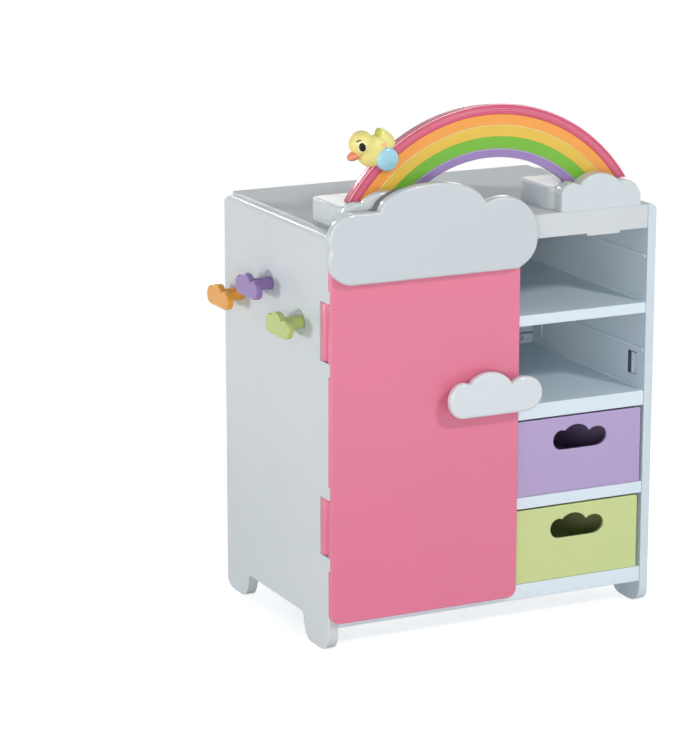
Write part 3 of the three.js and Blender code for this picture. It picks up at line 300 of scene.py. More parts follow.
# Screws: zinc-plated pan heads with a cross recess. Three hold the back to the divider, two each
# the sign and the knob, and one each coat hook.
CORNER = Vector((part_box("left_side_panel")[0].x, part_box("bottom_panel")[0].y, 0))
SCREW_HEAD_RADIUS = 3.6
SCREW_HEAD_HEIGHT = 2.0
SCREW_HEAD_FALL = 0.35
SCREW_SHANK_RADIUS = 1.6
SCREW_POINT_RADIUS = 0.4
RECESS_HALF_WIDTH = 0.45
RECESS_REACH = 1.9
RECESS_DEPTH = 1.1
RECESS_WALL = 0.15
RECESS_END = 0.3
BACK_SCREW_LENGTH = 12
CREASE_ANGLE = math.radians(38)


def quads(rows, columns, closed_rows):
    """Faces between the neighbours in a grid of points. Columns close in a ring, and rows too where asked."""
    row = np.arange(rows if closed_rows else rows - 1)[:, None]
    column = np.arange(columns)[None, :]
    next_row, next_column = (row + 1) % rows, (column + 1) % columns
    corners = [row * columns + column, row * columns + next_column,
               next_row * columns + next_column, next_row * columns + column]
    return np.stack(np.broadcast_arrays(*corners), -1).reshape(-1, 4).tolist()


def closed_surface(rings, closed_rows=False):
    """Closed surface over a stack of closed rings of points. It is a tube that ends where it starts, or has a
    flat cap on the first ring and the last."""
    rings = np.asarray(rings, float)
    rows, columns = rings.shape[:2]
    faces = quads(rows, columns, closed_rows)
    if not closed_rows:
        faces.append(list(range(columns))[::-1])
        faces.append(list(range((rows - 1) * columns, rows * columns)))
    return rings.reshape(-1, 3), faces


def moved(shape, offset, order=(0, 1, 2)):
    """Shape with its coordinates put in an order, and then moved by an offset."""
    points, faces = shape
    return points[:, order] + offset, faces


def make_mesh(name, *shapes):
    """Mesh of several closed shapes, in millimetres from the cabinet's lower front left corner."""
    points, faces, start = [], [], 0
    for shape_points, shape_faces in shapes:
        points.append(shape_points)
        faces += [[corner + start for corner in face] for face in shape_faces]
        start += len(shape_points)
    mesh = bpy.data.meshes.new(name)
    mesh.from_pydata((np.concatenate(points) * MM + np.array(CORNER)).tolist(), [], faces)
    work = bmesh.new()
    work.from_mesh(mesh)
    bmesh.ops.remove_doubles(work, verts=work.verts, dist=0.001 * MM)
    bmesh.ops.recalc_face_normals(work, faces=work.faces)
    work.to_mesh(mesh)
    work.free()
    return mesh


def add_piece(mesh, material, body, slot, *nodes):
    """Finished piece in the scene, smooth up to its sharp edges. It moves with its body and stands for its
    CAD nodes."""
    mesh.polygons.foreach_set("use_smooth", [True] * len(mesh.polygons))
    mesh.set_sharp_from_angle(angle=CREASE_ANGLE)
    mesh.materials.clear()
    mesh.materials.append(material)
    piece = bpy.data.objects.new(mesh.name, mesh)
    bpy.context.scene.collection.objects.link(piece)
    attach(piece, body)
    if nodes:
        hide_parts(*nodes)


STEEL = skin_material(
    "zinc steel", (linear(186, 190, 194), 0.12, 0.34, 900.0, 0.15, 0.0), {"Metallic": 1.0})


def screw(place, axis, length):
    """Screw along an axis, with the inner face of its head at a place. The head is a disc of rings whose
    height is a flat dome less a cross recess, and the shank is a plain round bar behind it."""
    shares = np.concatenate([np.linspace(0.02, 0.9, 22), np.sin(np.linspace(1.15, math.pi / 2, 5))])
    angle = np.linspace(0, 2 * math.pi, 96, endpoint=False)
    radius, turn = np.meshgrid(shares * SCREW_HEAD_RADIUS, angle, indexing="ij")
    across, up = radius * np.cos(turn), radius * np.sin(turn)
    dome = SCREW_HEAD_HEIGHT * (1 - SCREW_HEAD_FALL * (radius / SCREW_HEAD_RADIUS) ** 4)
    narrow, wide = np.minimum(np.abs(across), np.abs(up)), np.maximum(np.abs(across), np.abs(up))
    slot = np.clip((RECESS_HALF_WIDTH - narrow) / RECESS_WALL + 0.5, 0, 1)
    arm = np.clip((RECESS_REACH - wide) / RECESS_END + 0.5, 0, 1)
    head = np.stack([across, up, dome - RECESS_DEPTH * slot * arm], -1)
    profile = [(SCREW_HEAD_RADIUS, 0.3), (SCREW_HEAD_RADIUS, 0), (SCREW_SHANK_RADIUS, 0),
               (SCREW_SHANK_RADIUS, 1 - length), (SCREW_POINT_RADIUS, -length)]
    rest = [np.stack([r * np.cos(angle), r * np.sin(angle), 0 * angle + level], -1) for r, level in profile]
    return moved(closed_surface([*head, *rest]), place, {"x": [2, 0, 1], "y": [0, 2, 1]}[axis])


def corners_of(name):
    """Lowest corner, middle and highest corner of a CAD node in millimetres from the cabinet's corner."""
    low, high = (np.array((corner - CORNER) / MM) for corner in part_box(name))
    return low, (low + high) / 2, high


def place_screw(name, axis, body, length):
    """Replaces a CAD screw by a finished one with its head at the same place, the far end along the axis."""
    _, place, high = corners_of(name)
    along = "xyz".index(axis)
    place[along] = high[along] - SCREW_HEAD_HEIGHT
    add_piece(make_mesh(name + "_finished", screw(place, axis, length)), STEEL, body, "steel", name)


for number in (1, 2, 3):
    place_screw(f"back_screw_{number}", "y", "cabinet", BACK_SCREW_LENGTH)

# Clothes rail: a round rod of white plastic. Its rounded ends sit in a cup on the left side and one
# on the divider, so it goes in before the divider is fixed.
RAIL_RADIUS = 4.5
RAIL_EDGE = 1.0


def lathe(profile, axis, place=(0, 0, 0), closed=False, count=56):
    """Round shape about an axis through a place: each point (radius, along) of the profile is carried
    round a circle."""
    radius, along = np.asarray(profile, float).T
    angle = np.linspace(0, 2 * math.pi, count, endpoint=False)
    rings = np.stack(np.broadcast_arrays(
        along[:, None], radius[:, None] * np.cos(angle), radius[:, None] * np.sin(angle)), -1)
    order = {"x": [0, 1, 2], "y": [1, 0, 2], "z": [1, 2, 0]}[axis]
    return moved(closed_surface(rings, closed_rows=closed), np.asarray(place, float), order)


def quarter_round(radius, steps=5):
    """Rounded edge from a face to its side, as pairs of inset and depth: r (1 - sin a) and r (1 - cos a)."""
    turn = np.linspace(0, math.pi / 2, steps)
    return [(radius * (1 - math.sin(a)), radius * (1 - math.cos(a))) for a in turn]


def rod_profile(start, end, radius, edge):
    """Profile of a round rod from start to end, with both ends rounded over."""
    first = [(radius - inset, start + depth) for inset, depth in quarter_round(edge)]
    last = [(radius - inset, end - depth) for inset, depth in quarter_round(edge)]
    return first + last[::-1]


low, middle, high = corners_of("clothes_rail")
rail = lathe(rod_profile(low[0], high[0], RAIL_RADIUS, RAIL_EDGE), "x", (0, middle[1], middle[2]))
add_piece(make_mesh("rail_rod", rail), WHITE_PLASTIC, "cabinet", "white_plastic", "clothes_rail")

# Details in the bays, moulded with the cabinet: a catch with a round hole in the rear right corner of
# the middle bay, a rib with a foot and low strips on the right wall, and the pocket's rib. Dark bars
# in the pocket are painted shade for its deep inside.
RIGHT_WALL = 339
# A bar is given by its reach across from the right wall, along and up, and by the rounding of its edges.
BAY_BARS = {
    "catch": ((-21, 0), (219, 226), (217.3, 227.4), 0.5),
    "bar above the catch": ((-21, 0), (219, 226), (229, 240), 0.5),
    "rib": ((-1.2, 0.3), (199.4, 200.8), (226, 290.5), 0.4),
    "foot of the rib": ((-1.6, 0.3), (183, 200.8), (225.4, 227), 0.4),
    "pocket rib": ((2.6, 3.9), (26.2, 27.2), (228.2, 250.8), 0.3),
    "lower board strip": ((-1.3, 0.3), (4, 226), (216.7, 218.3), 0.4),
    "upper board strip": ((-1.3, 0.3), (4, 226), (304, 305.6), 0.4),
    "lower ledge strip": ((-1.9, 0.3), (4, 226), (256.7, 257.8), 0.3),
    "upper ledge strip": ((-1.9, 0.3), (4, 226), (349.3, 350.4), 0.3),
}
# Dark bars of painted shade at the rear and top of the pocket, given like the bars above.
POCKET_SHADE_BARS = {
    "rear": ((0.4, 3.95), (31.2, 31.95), (228.1, 250.9), 0.15),
    "top": ((0.9, 3.95), (18, 31.5), (249.6, 250.95), 0.15),
}
CATCH_HOLE_PLACE = (325.6, 0, 223.4)
CATCH_HOLE_REACH = (215, 225)
CATCH_HOLE_RADIUS = 2.8
CATCH_HOLE_EDGE = 0.1
FACE_RING = 0.35
FLAT = np.array([1, 0, 1])


def plate(outline, near, far, near_round, far_round, steps=6):
    """Plate of an outline between two depths. Its rings start on the near face a little inside the rounding,
    go round the near edge, and come back the same way on the far side."""
    side = 1 if far > near else -1
    rows = [(near_round + FACE_RING, near)]
    rows += [(inset, near + side * depth) for inset, depth in quarter_round(near_round, steps)]
    rows += [(inset, far - side * depth) for inset, depth in quarter_round(far_round, steps)[::-1]]
    rows.append((far_round + FACE_RING, far))
    rings = []
    for inset, depth in rows:
        edge = outline(inset)
        rings.append(np.stack([edge[:, 0], np.full(len(edge), depth), edge[:, 1]], -1))
    return closed_surface(rings)


def rounded_rectangle(width, height, radius, steps=6):
    """Outline of a rectangle with quarter-round corners, as a function of its inset. It starts at 0, 0."""
    def outline(inset):
        r = max(radius - inset, 0.05)
        turn = np.linspace(0, math.pi / 2, steps)
        left, right, bottom, top = inset + r, width - inset - r, inset + r, height - inset - r
        corners = [(right, bottom, -0.5), (right, top, 0), (left, top, 0.5), (left, bottom, 1)]
        return np.concatenate([
            np.stack([u + r * np.cos(turn + start * math.pi), v + r * np.sin(turn + start * math.pi)], 1)
            for u, v, start in corners])
    return outline


def rounded_block(low, high, edge):
    """Block between two corners with all its edges rounded."""
    low, high = np.minimum(low, high), np.maximum(low, high)
    outline = rounded_rectangle(high[0] - low[0], high[2] - low[2], edge)
    return moved(plate(outline, low[1], high[1], edge, edge, 4), low * FLAT)


def remade(mesh, *steps):
    """Mesh after modifiers, given as (kind, settings), have been applied to it."""
    holder = bpy.data.objects.new("work", mesh)
    bpy.context.scene.collection.objects.link(holder)
    for kind, settings in steps:
        modifier = holder.modifiers.new(kind, kind)
        for setting, value in settings.items():
            setattr(modifier, setting, value)
    result = bpy.data.meshes.new_from_object(holder.evaluated_get(bpy.context.evaluated_depsgraph_get()))
    name = mesh.name
    bpy.data.objects.remove(holder)
    bpy.data.meshes.remove(mesh)
    result.name = name
    return result


def carved(mesh, *cutters):
    """Mesh less the shapes of the cutters."""
    for cutter in cutters:
        tool = bpy.data.objects.new("cutter", make_mesh("cutter", cutter))
        bpy.context.scene.collection.objects.link(tool)
        mesh = remade(mesh, ("BOOLEAN", {"operation": "DIFFERENCE", "solver": "EXACT", "object": tool}))
        bpy.data.objects.remove(tool)
    return mesh


def joined(mesh, *others):
    """One mesh of several."""
    work = bmesh.new()
    for part in (mesh, *others):
        work.from_mesh(part)
    work.to_mesh(mesh)
    work.free()
    return mesh


def wall_bar(across, along, up, edge):
    """Bar with rounded edges on the right wall. Its reach across counts from the wall."""
    low, high = zip((RIGHT_WALL + across[0], RIGHT_WALL + across[1]), along, up)
    return rounded_block(low, high, edge)


bars = {name: wall_bar(*bar) for name, bar in BAY_BARS.items()}
hole = lathe(rod_profile(*CATCH_HOLE_REACH, CATCH_HOLE_RADIUS, CATCH_HOLE_EDGE), "y", CATCH_HOLE_PLACE)
catch = carved(make_mesh("bay_catch", bars.pop("catch")), hole)
add_piece(joined(catch, make_mesh("ribs", *bars.values())), BAY_LIT_BOARD_PLASTIC, "cabinet", "white_plastic")
pocket_shade = make_mesh("pocket_painted_shade", *(wall_bar(*bar) for bar in POCKET_SHADE_BARS.values()))
add_piece(pocket_shade, plastic("painted pocket shade", linear(72, 68, 104), 0.6, 0.2), "cabinet", None)

# Hangers: three flat plastic hangers in pink, green and purple, moulded in one piece. They hang
# on the rail by an open hook and swing on it.
HANGER_COLORS = {
    "pink": linear(217, 102, 139), "green": linear(198, 215, 140), "purple": linear(167, 143, 201)}
HANGER_LENGTH = 172
HANGER_DROP = 15
HANGER_THICKNESS = 4.5
HANGER_MIDDLE_HALF = 6
HANGER_END_HALF = 3.75
HANGER_NECK_LENGTH = 10
HANGER_NECK_HALVES = (5, 3.2)
HANGER_HOOK_RADIUS = 10.25
HANGER_HOOK_HALF = 2.25
HANGER_HOOK_END = math.radians(155)
HANGER_PLAY = 0.3


def sweep(path, half_widths, steps=20):
    """Flat bar along a path in y and z. At each point there is a squarish ring, of the half width times
    cos a to the power 0.6 across the path and the hanger's half thickness times sin a to the same power along
    x. It shrinks to a point at rounded ends."""
    path = np.asarray(path, float)
    ahead = np.gradient(path, axis=0)
    ahead /= np.linalg.norm(ahead, axis=1)[:, None]
    side = np.stack([-ahead[:, 1], ahead[:, 0]], 1)
    angle = np.linspace(0, 2 * math.pi, steps, endpoint=False)
    across, through = (np.sign(share) * np.abs(share) ** 0.6 for share in (np.cos(angle), np.sin(angle)))
    widths = np.asarray(half_widths, float)
    shrink = np.minimum(1, 3 * np.minimum(1, widths / widths[len(widths) // 2]))
    rings = np.empty((len(path), steps, 3))
    rings[..., 0] = through * HANGER_THICKNESS / 2 * shrink[:, None]
    rings[..., 1:] = path[:, None] + side[:, None] * (across * widths[:, None])[..., None]
    return closed_surface(rings)


def hanger(x, rail_middle, rail_level):
    """Hanger on the rail: two arms in one sweep that droop to their ends by the power 1.25 of the way out,
    and the hook and the neck in two more."""
    hook_centre = rail_level + RAIL_RADIUS + HANGER_PLAY - (HANGER_HOOK_RADIUS - HANGER_HOOK_HALF)
    neck_top = hook_centre - (HANGER_HOOK_RADIUS + HANGER_HOOK_HALF)
    neck_bottom = neck_top - HANGER_NECK_LENGTH - HANGER_MIDDLE_HALF
    half, end = HANGER_LENGTH / 2, HANGER_END_HALF
    rounding = end * (1 - np.cos(np.linspace(0, math.pi / 2, 7)))
    straight = np.linspace(-half + end + 2, half - end - 2, 41)
    across = np.concatenate([-half + rounding, straight, half - rounding[::-1]])
    share = np.abs(across) / (half - end)
    level = neck_bottom - (HANGER_DROP - HANGER_MIDDLE_HALF) * share ** 1.25
    width = HANGER_MIDDLE_HALF + (end - HANGER_MIDDLE_HALF) * np.minimum(share, 1)
    width *= np.sqrt(np.clip(1 - np.clip((np.abs(across) - half + end) / end, 0, 1) ** 2, 0.004, 1))
    turn = np.linspace(-math.pi / 2, HANGER_HOOK_END, 44)
    hook_across, hook_up = HANGER_HOOK_RADIUS * np.cos(turn), HANGER_HOOK_RADIUS * np.sin(turn)
    tip = np.sqrt(np.clip(1 - (np.arange(44) - 38).clip(0) ** 2 / 26, 0.02, 1))
    neck_levels = np.linspace(neck_bottom, neck_top, 8)
    bars = [
        (across, level, width),
        (hook_across, hook_centre + hook_up, HANGER_HOOK_HALF * tip),
        (0 * neck_levels, neck_levels, np.linspace(*HANGER_NECK_HALVES, 8)),
    ]
    return [moved(sweep(np.stack([rail_middle + along, up], 1), halves), [x, 0, 0])
            for along, up, halves in bars]


rail_middle, rail_level = middle[1], middle[2]
for color, paint in HANGER_COLORS.items():
    node = f"hanger_{color}"
    mesh = make_mesh(f"{node}_finished", *hanger(corners_of(node)[1][0], rail_middle, rail_level))
    add_piece(mesh, plastic(f"{color} hanger plastic", paint, 0.3, 0.04), node, node, node)

# Coat hooks: a small cloud plate in green, purple and orange plastic on a round stem, moulded in
# one. The stem sits in a dimple of the left side and is held by a screw from inside.
# A cloud has lobes, which are ellipses (across, up, half across, half up), and bars from the base up
# (start, end, top), all as shares of its width and height. Hooks, knob and grip holes share this one.
SMALL_CLOUD = (
    [(0.152, 0.409, 0.152, 0.409), (0.431, 0.5, 0.255, 0.5), (0.809, 0.409, 0.191, 0.409)],
    [(0.152, 0.809, 0.6)])
HOOK_PLATE = (50, 22)
HOOK_PLATE_THICKNESS = 6.5
HOOK_FRONT_EDGE = 1.2
HOOK_REAR_EDGE = 1.0
HOOK_STEM_RADIUS = 6.2
HOOK_SCREW_LENGTH = 18
STEM_FLARE = 1.2
# Ring round the stem, as radius and depth behind the wall's face.
HOOK_SEAT = [
    (13.8, 0.9), (13.8, -0.02), (13.3, -0.25), (12.7, -0.3), (12.1, 0.0), (11.6, 0.8), (11.1, 1.7),
    (10.3, 2.15), (6.4, 2.2), (6.4, 2.9), (12.0, 2.9),
]
HOOK_COLORS = {
    "green": linear(190, 205, 122), "purple": linear(150, 122, 180), "orange": linear(236, 163, 62)}


def ellipse_exit(angle, centre, halves):
    """How far a ray from the origin runs before it leaves an ellipse, or 0 where it misses: the larger root
    of ((t cos a - u) / h)^2 + ((t sin a - v) / k)^2 = 1."""
    (u, v), (h, k) = centre, halves
    c, s = np.cos(angle), np.sin(angle)
    square, slope = (c / h) ** 2 + (s / k) ** 2, u * c / h ** 2 + v * s / k ** 2
    root = slope ** 2 - square * ((u / h) ** 2 + (v / k) ** 2 - 1)
    return np.where(root > 0, (slope + np.sqrt(np.maximum(root, 0))) / square, 0).clip(0)


def box_exit(angle, low, high):
    """How far a ray from the origin runs before it leaves a box round the origin."""
    c, s = np.cos(angle), np.sin(angle)
    with np.errstate(divide="ignore", invalid="ignore"):
        sideways = np.where(c > 0, high[0] / c, low[0] / c)
        upright = np.where(s > 0, high[1] / s, low[1] / s)
    return np.fmin(np.where(np.abs(c) < 1e-9, np.inf, sideways), np.where(np.abs(s) < 1e-9, np.inf, upright))


def cloud_reach(cloud, size, mirrored=False, eye=(0.5, 0.4), flat_base=False):
    """How far a ray from a cloud's eye, a point inside it, runs at an angle and an inset: to the farthest
    lobe or bar that it leaves, but not below the base. A flat base has no inset. The place of the eye comes
    with it."""
    (lobes, bars), (width, height) = cloud, size
    eye_u, eye_v = width * (1 - eye[0] if mirrored else eye[0]), height * eye[1]
    def reach(angle, inset):
        base = -eye_v if flat_base else inset - eye_v
        found = []
        for across, up, half_across, half_up in lobes:
            u = width * (1 - across if mirrored else across) - eye_u
            halves = (width * half_across - inset, height * half_up - inset)
            found.append(ellipse_exit(angle, (u, height * up - eye_v), halves))
        for start, end, top in bars:
            start, end = (1 - end, 1 - start) if mirrored else (start, end)
            left, right = width * start - eye_u + inset, width * end - eye_u - inset
            found.append(box_exit(angle, (left, base), (right, height * top - eye_v - inset)))
        return np.minimum(np.max(found, axis=0), box_exit(angle, (-1e6, base), (1e6, 1e6)))
    return reach, np.array([eye_u, eye_v])


def even_angles(reach, count):
    """Angles at which rays meet an outline at even steps along it."""
    fine = np.linspace(0, 2 * math.pi, 7201)
    line = reach(fine, 0)[:, None] * np.stack([np.cos(fine), np.sin(fine)], 1)
    run = np.concatenate([[0], np.cumsum(np.linalg.norm(np.diff(line, axis=0), axis=1))])
    return np.interp(np.linspace(0, run[-1], count, endpoint=False), run, fine)


def cloud_edge(cloud, size, count, **settings):
    """Outline of a cloud as a function of its inset, from its lower left corner: its eye plus the reach along
    each ray."""
    reach, eye = cloud_reach(cloud, size, **settings)
    angle = even_angles(reach, count)
    def outline(inset):
        return eye + reach(angle, inset)[:, None] * np.stack([np.cos(angle), np.sin(angle)], 1)
    return outline


def stem_profile(start, end, radius):
    """Profile of a round stem that widens by a quarter round where it leaves its plate, at start."""
    side = 1 if end > start else -1
    rows = [(radius + inset, start + side * depth) for inset, depth in quarter_round(STEM_FLARE, 6)]
    return [(radius + STEM_FLARE, start - side), *rows, (radius, end - side * 0.5), (radius - 0.5, end)]


for color, paint in HOOK_COLORS.items():
    node = f"coat_hook_{color}"
    low, middle, high = corners_of(node)
    plate_end = low[0] + HOOK_PLATE_THICKNESS
    outline = cloud_edge(SMALL_CLOUD, HOOK_PLATE, 150, mirrored=True)
    cloud = plate(outline, low[0], plate_end, HOOK_FRONT_EDGE, HOOK_REAR_EDGE)
    stem = lathe(stem_profile(plate_end, high[0], HOOK_STEM_RADIUS), "x", (0, *middle[1:]))
    hook_plastic = plastic(f"{color} hook plastic", paint, 0.22, 0.05, shine=0.3, coat=0.2)
    mesh = make_mesh(f"{node}_finished", moved(cloud, low * [0, 1, 1], [1, 0, 2]), stem)
    add_piece(mesh, hook_plastic, "cabinet", f"hook_{color}", node)
    seat = make_mesh(f"hook_seat_{color}", lathe(HOOK_SEAT, "x", (0, *middle[1:]), closed=True, count=72))
    add_piece(seat, WHITE_PLASTIC, "cabinet", "white_plastic")
    place_screw(f"coat_hook_screw_{color}", "x", "cabinet", HOOK_SCREW_LENGTH)

# Door: one pink panel with rounded corners and edges. Two hinge barrels are moulded on its left
# edge and turn on steel pins between the ears of the left side.
DOOR_THICKNESS = 7.3
DOOR_CORNER = 9
DOOR_FRONT_EDGE = 1.5
DOOR_REAR_EDGE = 0.8
PIN_EDGE = 0.3
KNUCKLE_BOTTOMS = (94, 280)
KNUCKLE_LENGTH = 55
KNUCKLE_RADIUS = 5.5
KNUCKLE_EDGE = 0.7
KNUCKLE_ARM = (-1.2, 4.4)
KNUCKLE_ARM_SUNK = 2
KNUCKLE_ARM_EDGE = 0.6
EAR_HEIGHT = 12.4
EAR_GAP = 1.2
EAR_SPACE_REACH = 4.8
EAR_SPACE_RIGHT = 17.5
EAR_SPACE_EDGE = 0.4
EAR_SPACE_OVERRUN = 5
for name in ("hinge_pin_lower", "hinge_pin_upper"):
    round_edges(name, STEEL, PIN_EDGE)
low, _, high = corners_of("door_panel")
door_back = low[1] + DOOR_THICKNESS
outline = rounded_rectangle(high[0] - low[0], high[2] - low[2], DOOR_CORNER, 9)
board = plate(outline, low[1], door_back, DOOR_FRONT_EDGE, DOOR_REAR_EDGE, 7)
leaf = make_mesh("door_leaf", moved(board, low * FLAT))
pin_x, pin_y = corners_of("hinge_pin_lower")[1][:2]
ear_spaces, barrels = [], []
for bottom in KNUCKLE_BOTTOMS:
    top = bottom + KNUCKLE_LENGTH
    for start in (bottom - EAR_GAP - EAR_HEIGHT, top):
        ear_spaces.append(rounded_block(
            (low[0] - EAR_SPACE_OVERRUN, -EAR_SPACE_REACH, start),
            (EAR_SPACE_RIGHT, EAR_SPACE_OVERRUN, start + EAR_HEIGHT + EAR_GAP), EAR_SPACE_EDGE))
    barrels.append(lathe(rod_profile(bottom, top, KNUCKLE_RADIUS, KNUCKLE_EDGE), "z", (pin_x, pin_y, 0)))
    barrels.append(rounded_block(
        (pin_x + KNUCKLE_ARM[0], door_back - KNUCKLE_ARM_SUNK, bottom), (pin_x + KNUCKLE_ARM[1], pin_y, top),
        KNUCKLE_ARM_EDGE))
PINK_PLASTIC = plastic("pink plastic", linear(229, 124, 152), 0.3, 0.04, grain_depth=0.06, coat=0.25)
door = joined(carved(leaf, *ear_spaces), make_mesh("barrels", *barrels))
add_piece(door, PINK_PLASTIC, "door", "pink_plastic", "door_panel")

# Sign: a thick white cloud over the top of the door, with its edge rounded and its face bare. A
# grey cover closes the back of the lobe that stands above the door, and two screws hold it. Its dark
# speckled grey is painted shade for the gap behind the lobe.
SIGN_CLOUD = (
    [(0.111, 0.486, 0.111, 0.265), (0.116, 0.276, 0.116, 0.276), (0.486, 0.729, 0.25, 0.271),
     (0.824, 0.37, 0.176, 0.42), (0.87, 0.309, 0.13, 0.309)],
    [(0.111, 0.87, 0.75)])
SIGN_SIZE = (216, 88.4)
SIGN_FRONT_EDGE = 2.6
SIGN_REAR_EDGE = 0.8
SIGN_SCREW_LENGTH = 9
COVER_LOBE_HALF = 22.5
COVER_TOP_DROP = 4.4
COVER_FRONT_EDGE = 0.4
COVER_REAR_EDGE = 1.0


def cover_edge(low, high):
    """Outline of the cover as a function of its inset: the ellipse of the sign's middle lobe, cut off level
    below and near its top."""
    turn = np.linspace(0, 2 * math.pi, 200, endpoint=False)
    def outline(inset):
        across = (low[0] + high[0]) / 2 + ((high[0] - low[0]) / 2 - inset) * np.cos(turn)
        up = high[2] - COVER_LOBE_HALF + (COVER_LOBE_HALF - inset) * np.sin(turn)
        return np.stack([across, np.clip(up, low[2] + inset, high[2] - COVER_TOP_DROP - inset)], 1)
    return outline


SIGN_PLASTIC = plastic(
    "white sign plastic", linear(203, 209, 213), 0.33, 0.03, grain_depth=0.04, shine=0.3, coat=0.6)
SHADE_GREY_PLASTIC = plastic("grey plastic of painted shade", linear(122, 125, 123), 0.6, 0.3, 700.0, 0.6, shine=0.2)
low, _, high = corners_of("cloud_sign")
outline = cloud_edge(SIGN_CLOUD, SIGN_SIZE, 420, eye=(0.49, 0.42))
cloud = plate(outline, low[1], high[1], SIGN_FRONT_EDGE, SIGN_REAR_EDGE, 8)
mesh = make_mesh("sign_cloud", moved(cloud, low * FLAT))
add_piece(mesh, SIGN_PLASTIC, "door", "white_plastic", "cloud_sign")
low, _, high = corners_of("sign_rear_cover")
cover = plate(cover_edge(low, high), low[1], high[1], COVER_FRONT_EDGE, COVER_REAR_EDGE, 5)
add_piece(make_mesh("sign_cover", cover), SHADE_GREY_PLASTIC, "door", "grey_plastic", "sign_rear_cover")
for side in ("left", "right"):
    place_screw(f"sign_screw_{side}", "y", "door", SIGN_SCREW_LENGTH)

# Knob: a cloud of white plastic with a rounded edge, moulded in one with two round stems. The stems
# stand on the door, and a screw from behind holds each.
KNOB_SIZE = (98.5, 42)
KNOB_THICKNESS = 8
KNOB_FRONT_EDGE = 2.8
KNOB_REAR_EDGE = 2.0
KNOB_STEMS = (0.244, 0.69)
KNOB_STEM_RISE = 20
KNOB_STEM_RADIUS = 6
KNOB_SCREW_LENGTH = 12
low, _, high = corners_of("door_knob")
knob_back = low[1] + KNOB_THICKNESS
outline = cloud_edge(SMALL_CLOUD, KNOB_SIZE, 260)
shapes = [moved(plate(outline, low[1], knob_back, KNOB_FRONT_EDGE, KNOB_REAR_EDGE, 8), low * FLAT)]
for share in KNOB_STEMS:
    place = (low[0] + share * KNOB_SIZE[0], 0, low[2] + KNOB_STEM_RISE)
    shapes.append(lathe(stem_profile(knob_back, high[1], KNOB_STEM_RADIUS), "y", place))
KNOB_PLASTIC = plastic(
    "white knob plastic", linear(217, 223, 228), 0.3, 0.03, grain_depth=0.04, shine=0.3, coat=0.6)
add_piece(make_mesh("knob_cloud", *shapes), KNOB_PLASTIC, "door", "white_plastic", "door_knob")
for side in ("left", "right"):
    place_screw(f"knob_screw_{side}", "y", "door", KNOB_SCREW_LENGTH)

# Drawers: a purple and a green one, each moulded in one piece with a cloud-shaped grip hole in its
# front. They run on the boards below them.
GRIP_SIZE = (59, 23.5)
GRIP_TOP_INSET = 9
GRIP_SHIFT = 1.2
GRIP_EDGE = 0.9
GRIP_CUT_REACH = (-4, 6)
FRONT_WALL = 3
FRONT_EDGE = 0.8
FRONT_REAR_EDGE = 0.4
FRONT_CORNER = 1.8
TRAY_WALL = 2.5
TRAY_DROP = 9
TRAY_INSET = 1.5
TRAY_SETBACK = 0.5
TRAY_CORNER = 3.0
TRAY_EDGE = 1.0
DRAWER_COLORS = {"purple": linear(181, 162, 206), "green": linear(206, 219, 150)}


def rounded_box_exit(angle, low, high, radius):
    """How far a ray from the origin runs before it leaves a box with round corners: to the box, or to the
    circle of the corner where the box would be left beside it."""
    far = box_exit(angle, low, high)
    u, v = far * np.cos(angle), far * np.sin(angle)
    corner_u = np.clip(u, low[0] + radius, high[0] - radius)
    corner_v = np.clip(v, low[1] + radius, high[1] - radius)
    round_far = ellipse_exit(angle, (corner_u, corner_v), (radius, radius))
    return np.where((corner_u != u) & (corner_v != v) & (round_far > 0), round_far, far)


def front_with_grip(low, high, grip_place):
    """Front of a drawer: one closed surface round its grip hole. The rings go through the hole, over the
    front face, round the outer edge and back over the rear face, all on the same rays from the hole's eye."""
    hole, eye = cloud_reach(SMALL_CLOUD, GRIP_SIZE)
    centre = eye + grip_place[[0, 2]]
    front, rear = low[1], low[1] + FRONT_WALL
    low, high = low[[0, 2]] - centre, high[[0, 2]] - centre
    def outer(angle, inset):
        return rounded_box_exit(angle, low + inset, high - inset, FRONT_CORNER - 0.9 * inset)
    turn = np.linspace(0, 2 * math.pi, 33)
    arcs = np.stack([np.cos(turn), np.sin(turn)], 1) * FRONT_CORNER
    spots = np.concatenate([
        np.where([u > 0, v > 0], high - FRONT_CORNER, low + FRONT_CORNER) + arcs
        for u, v in ((-1, -1), (1, -1), (1, 1), (-1, 1))])
    corner_angles = np.mod(np.arctan2(spots[:, 1], spots[:, 0]), 2 * math.pi)
    angles = [even_angles(hole, 170), even_angles(outer, 90), corner_angles]
    angle = np.unique(np.concatenate(angles).round(5))
    rows = [(hole, -inset, front + depth) for inset, depth in quarter_round(GRIP_EDGE)[::-1]]
    rows += [(hole, -GRIP_EDGE - FACE_RING, front), (outer, FRONT_EDGE + FACE_RING, front)]
    rows += [(outer, inset, front + depth) for inset, depth in quarter_round(FRONT_EDGE)]
    rows += [(outer, inset, rear - depth) for inset, depth in quarter_round(FRONT_REAR_EDGE)[::-1]]
    rows += [(outer, 2 * FRONT_REAR_EDGE, rear), (hole, -2 * FRONT_REAR_EDGE, rear)]
    rows += [(hole, -inset, rear - depth) for inset, depth in quarter_round(FRONT_REAR_EDGE)]
    rings = []
    for reach, inset, depth in rows:
        far = reach(angle, inset)
        rings.append(np.stack([
            centre[0] + far * np.cos(angle), 0 * far + depth, centre[1] + far * np.sin(angle)], -1))
    return closed_surface(rings, closed_rows=True)


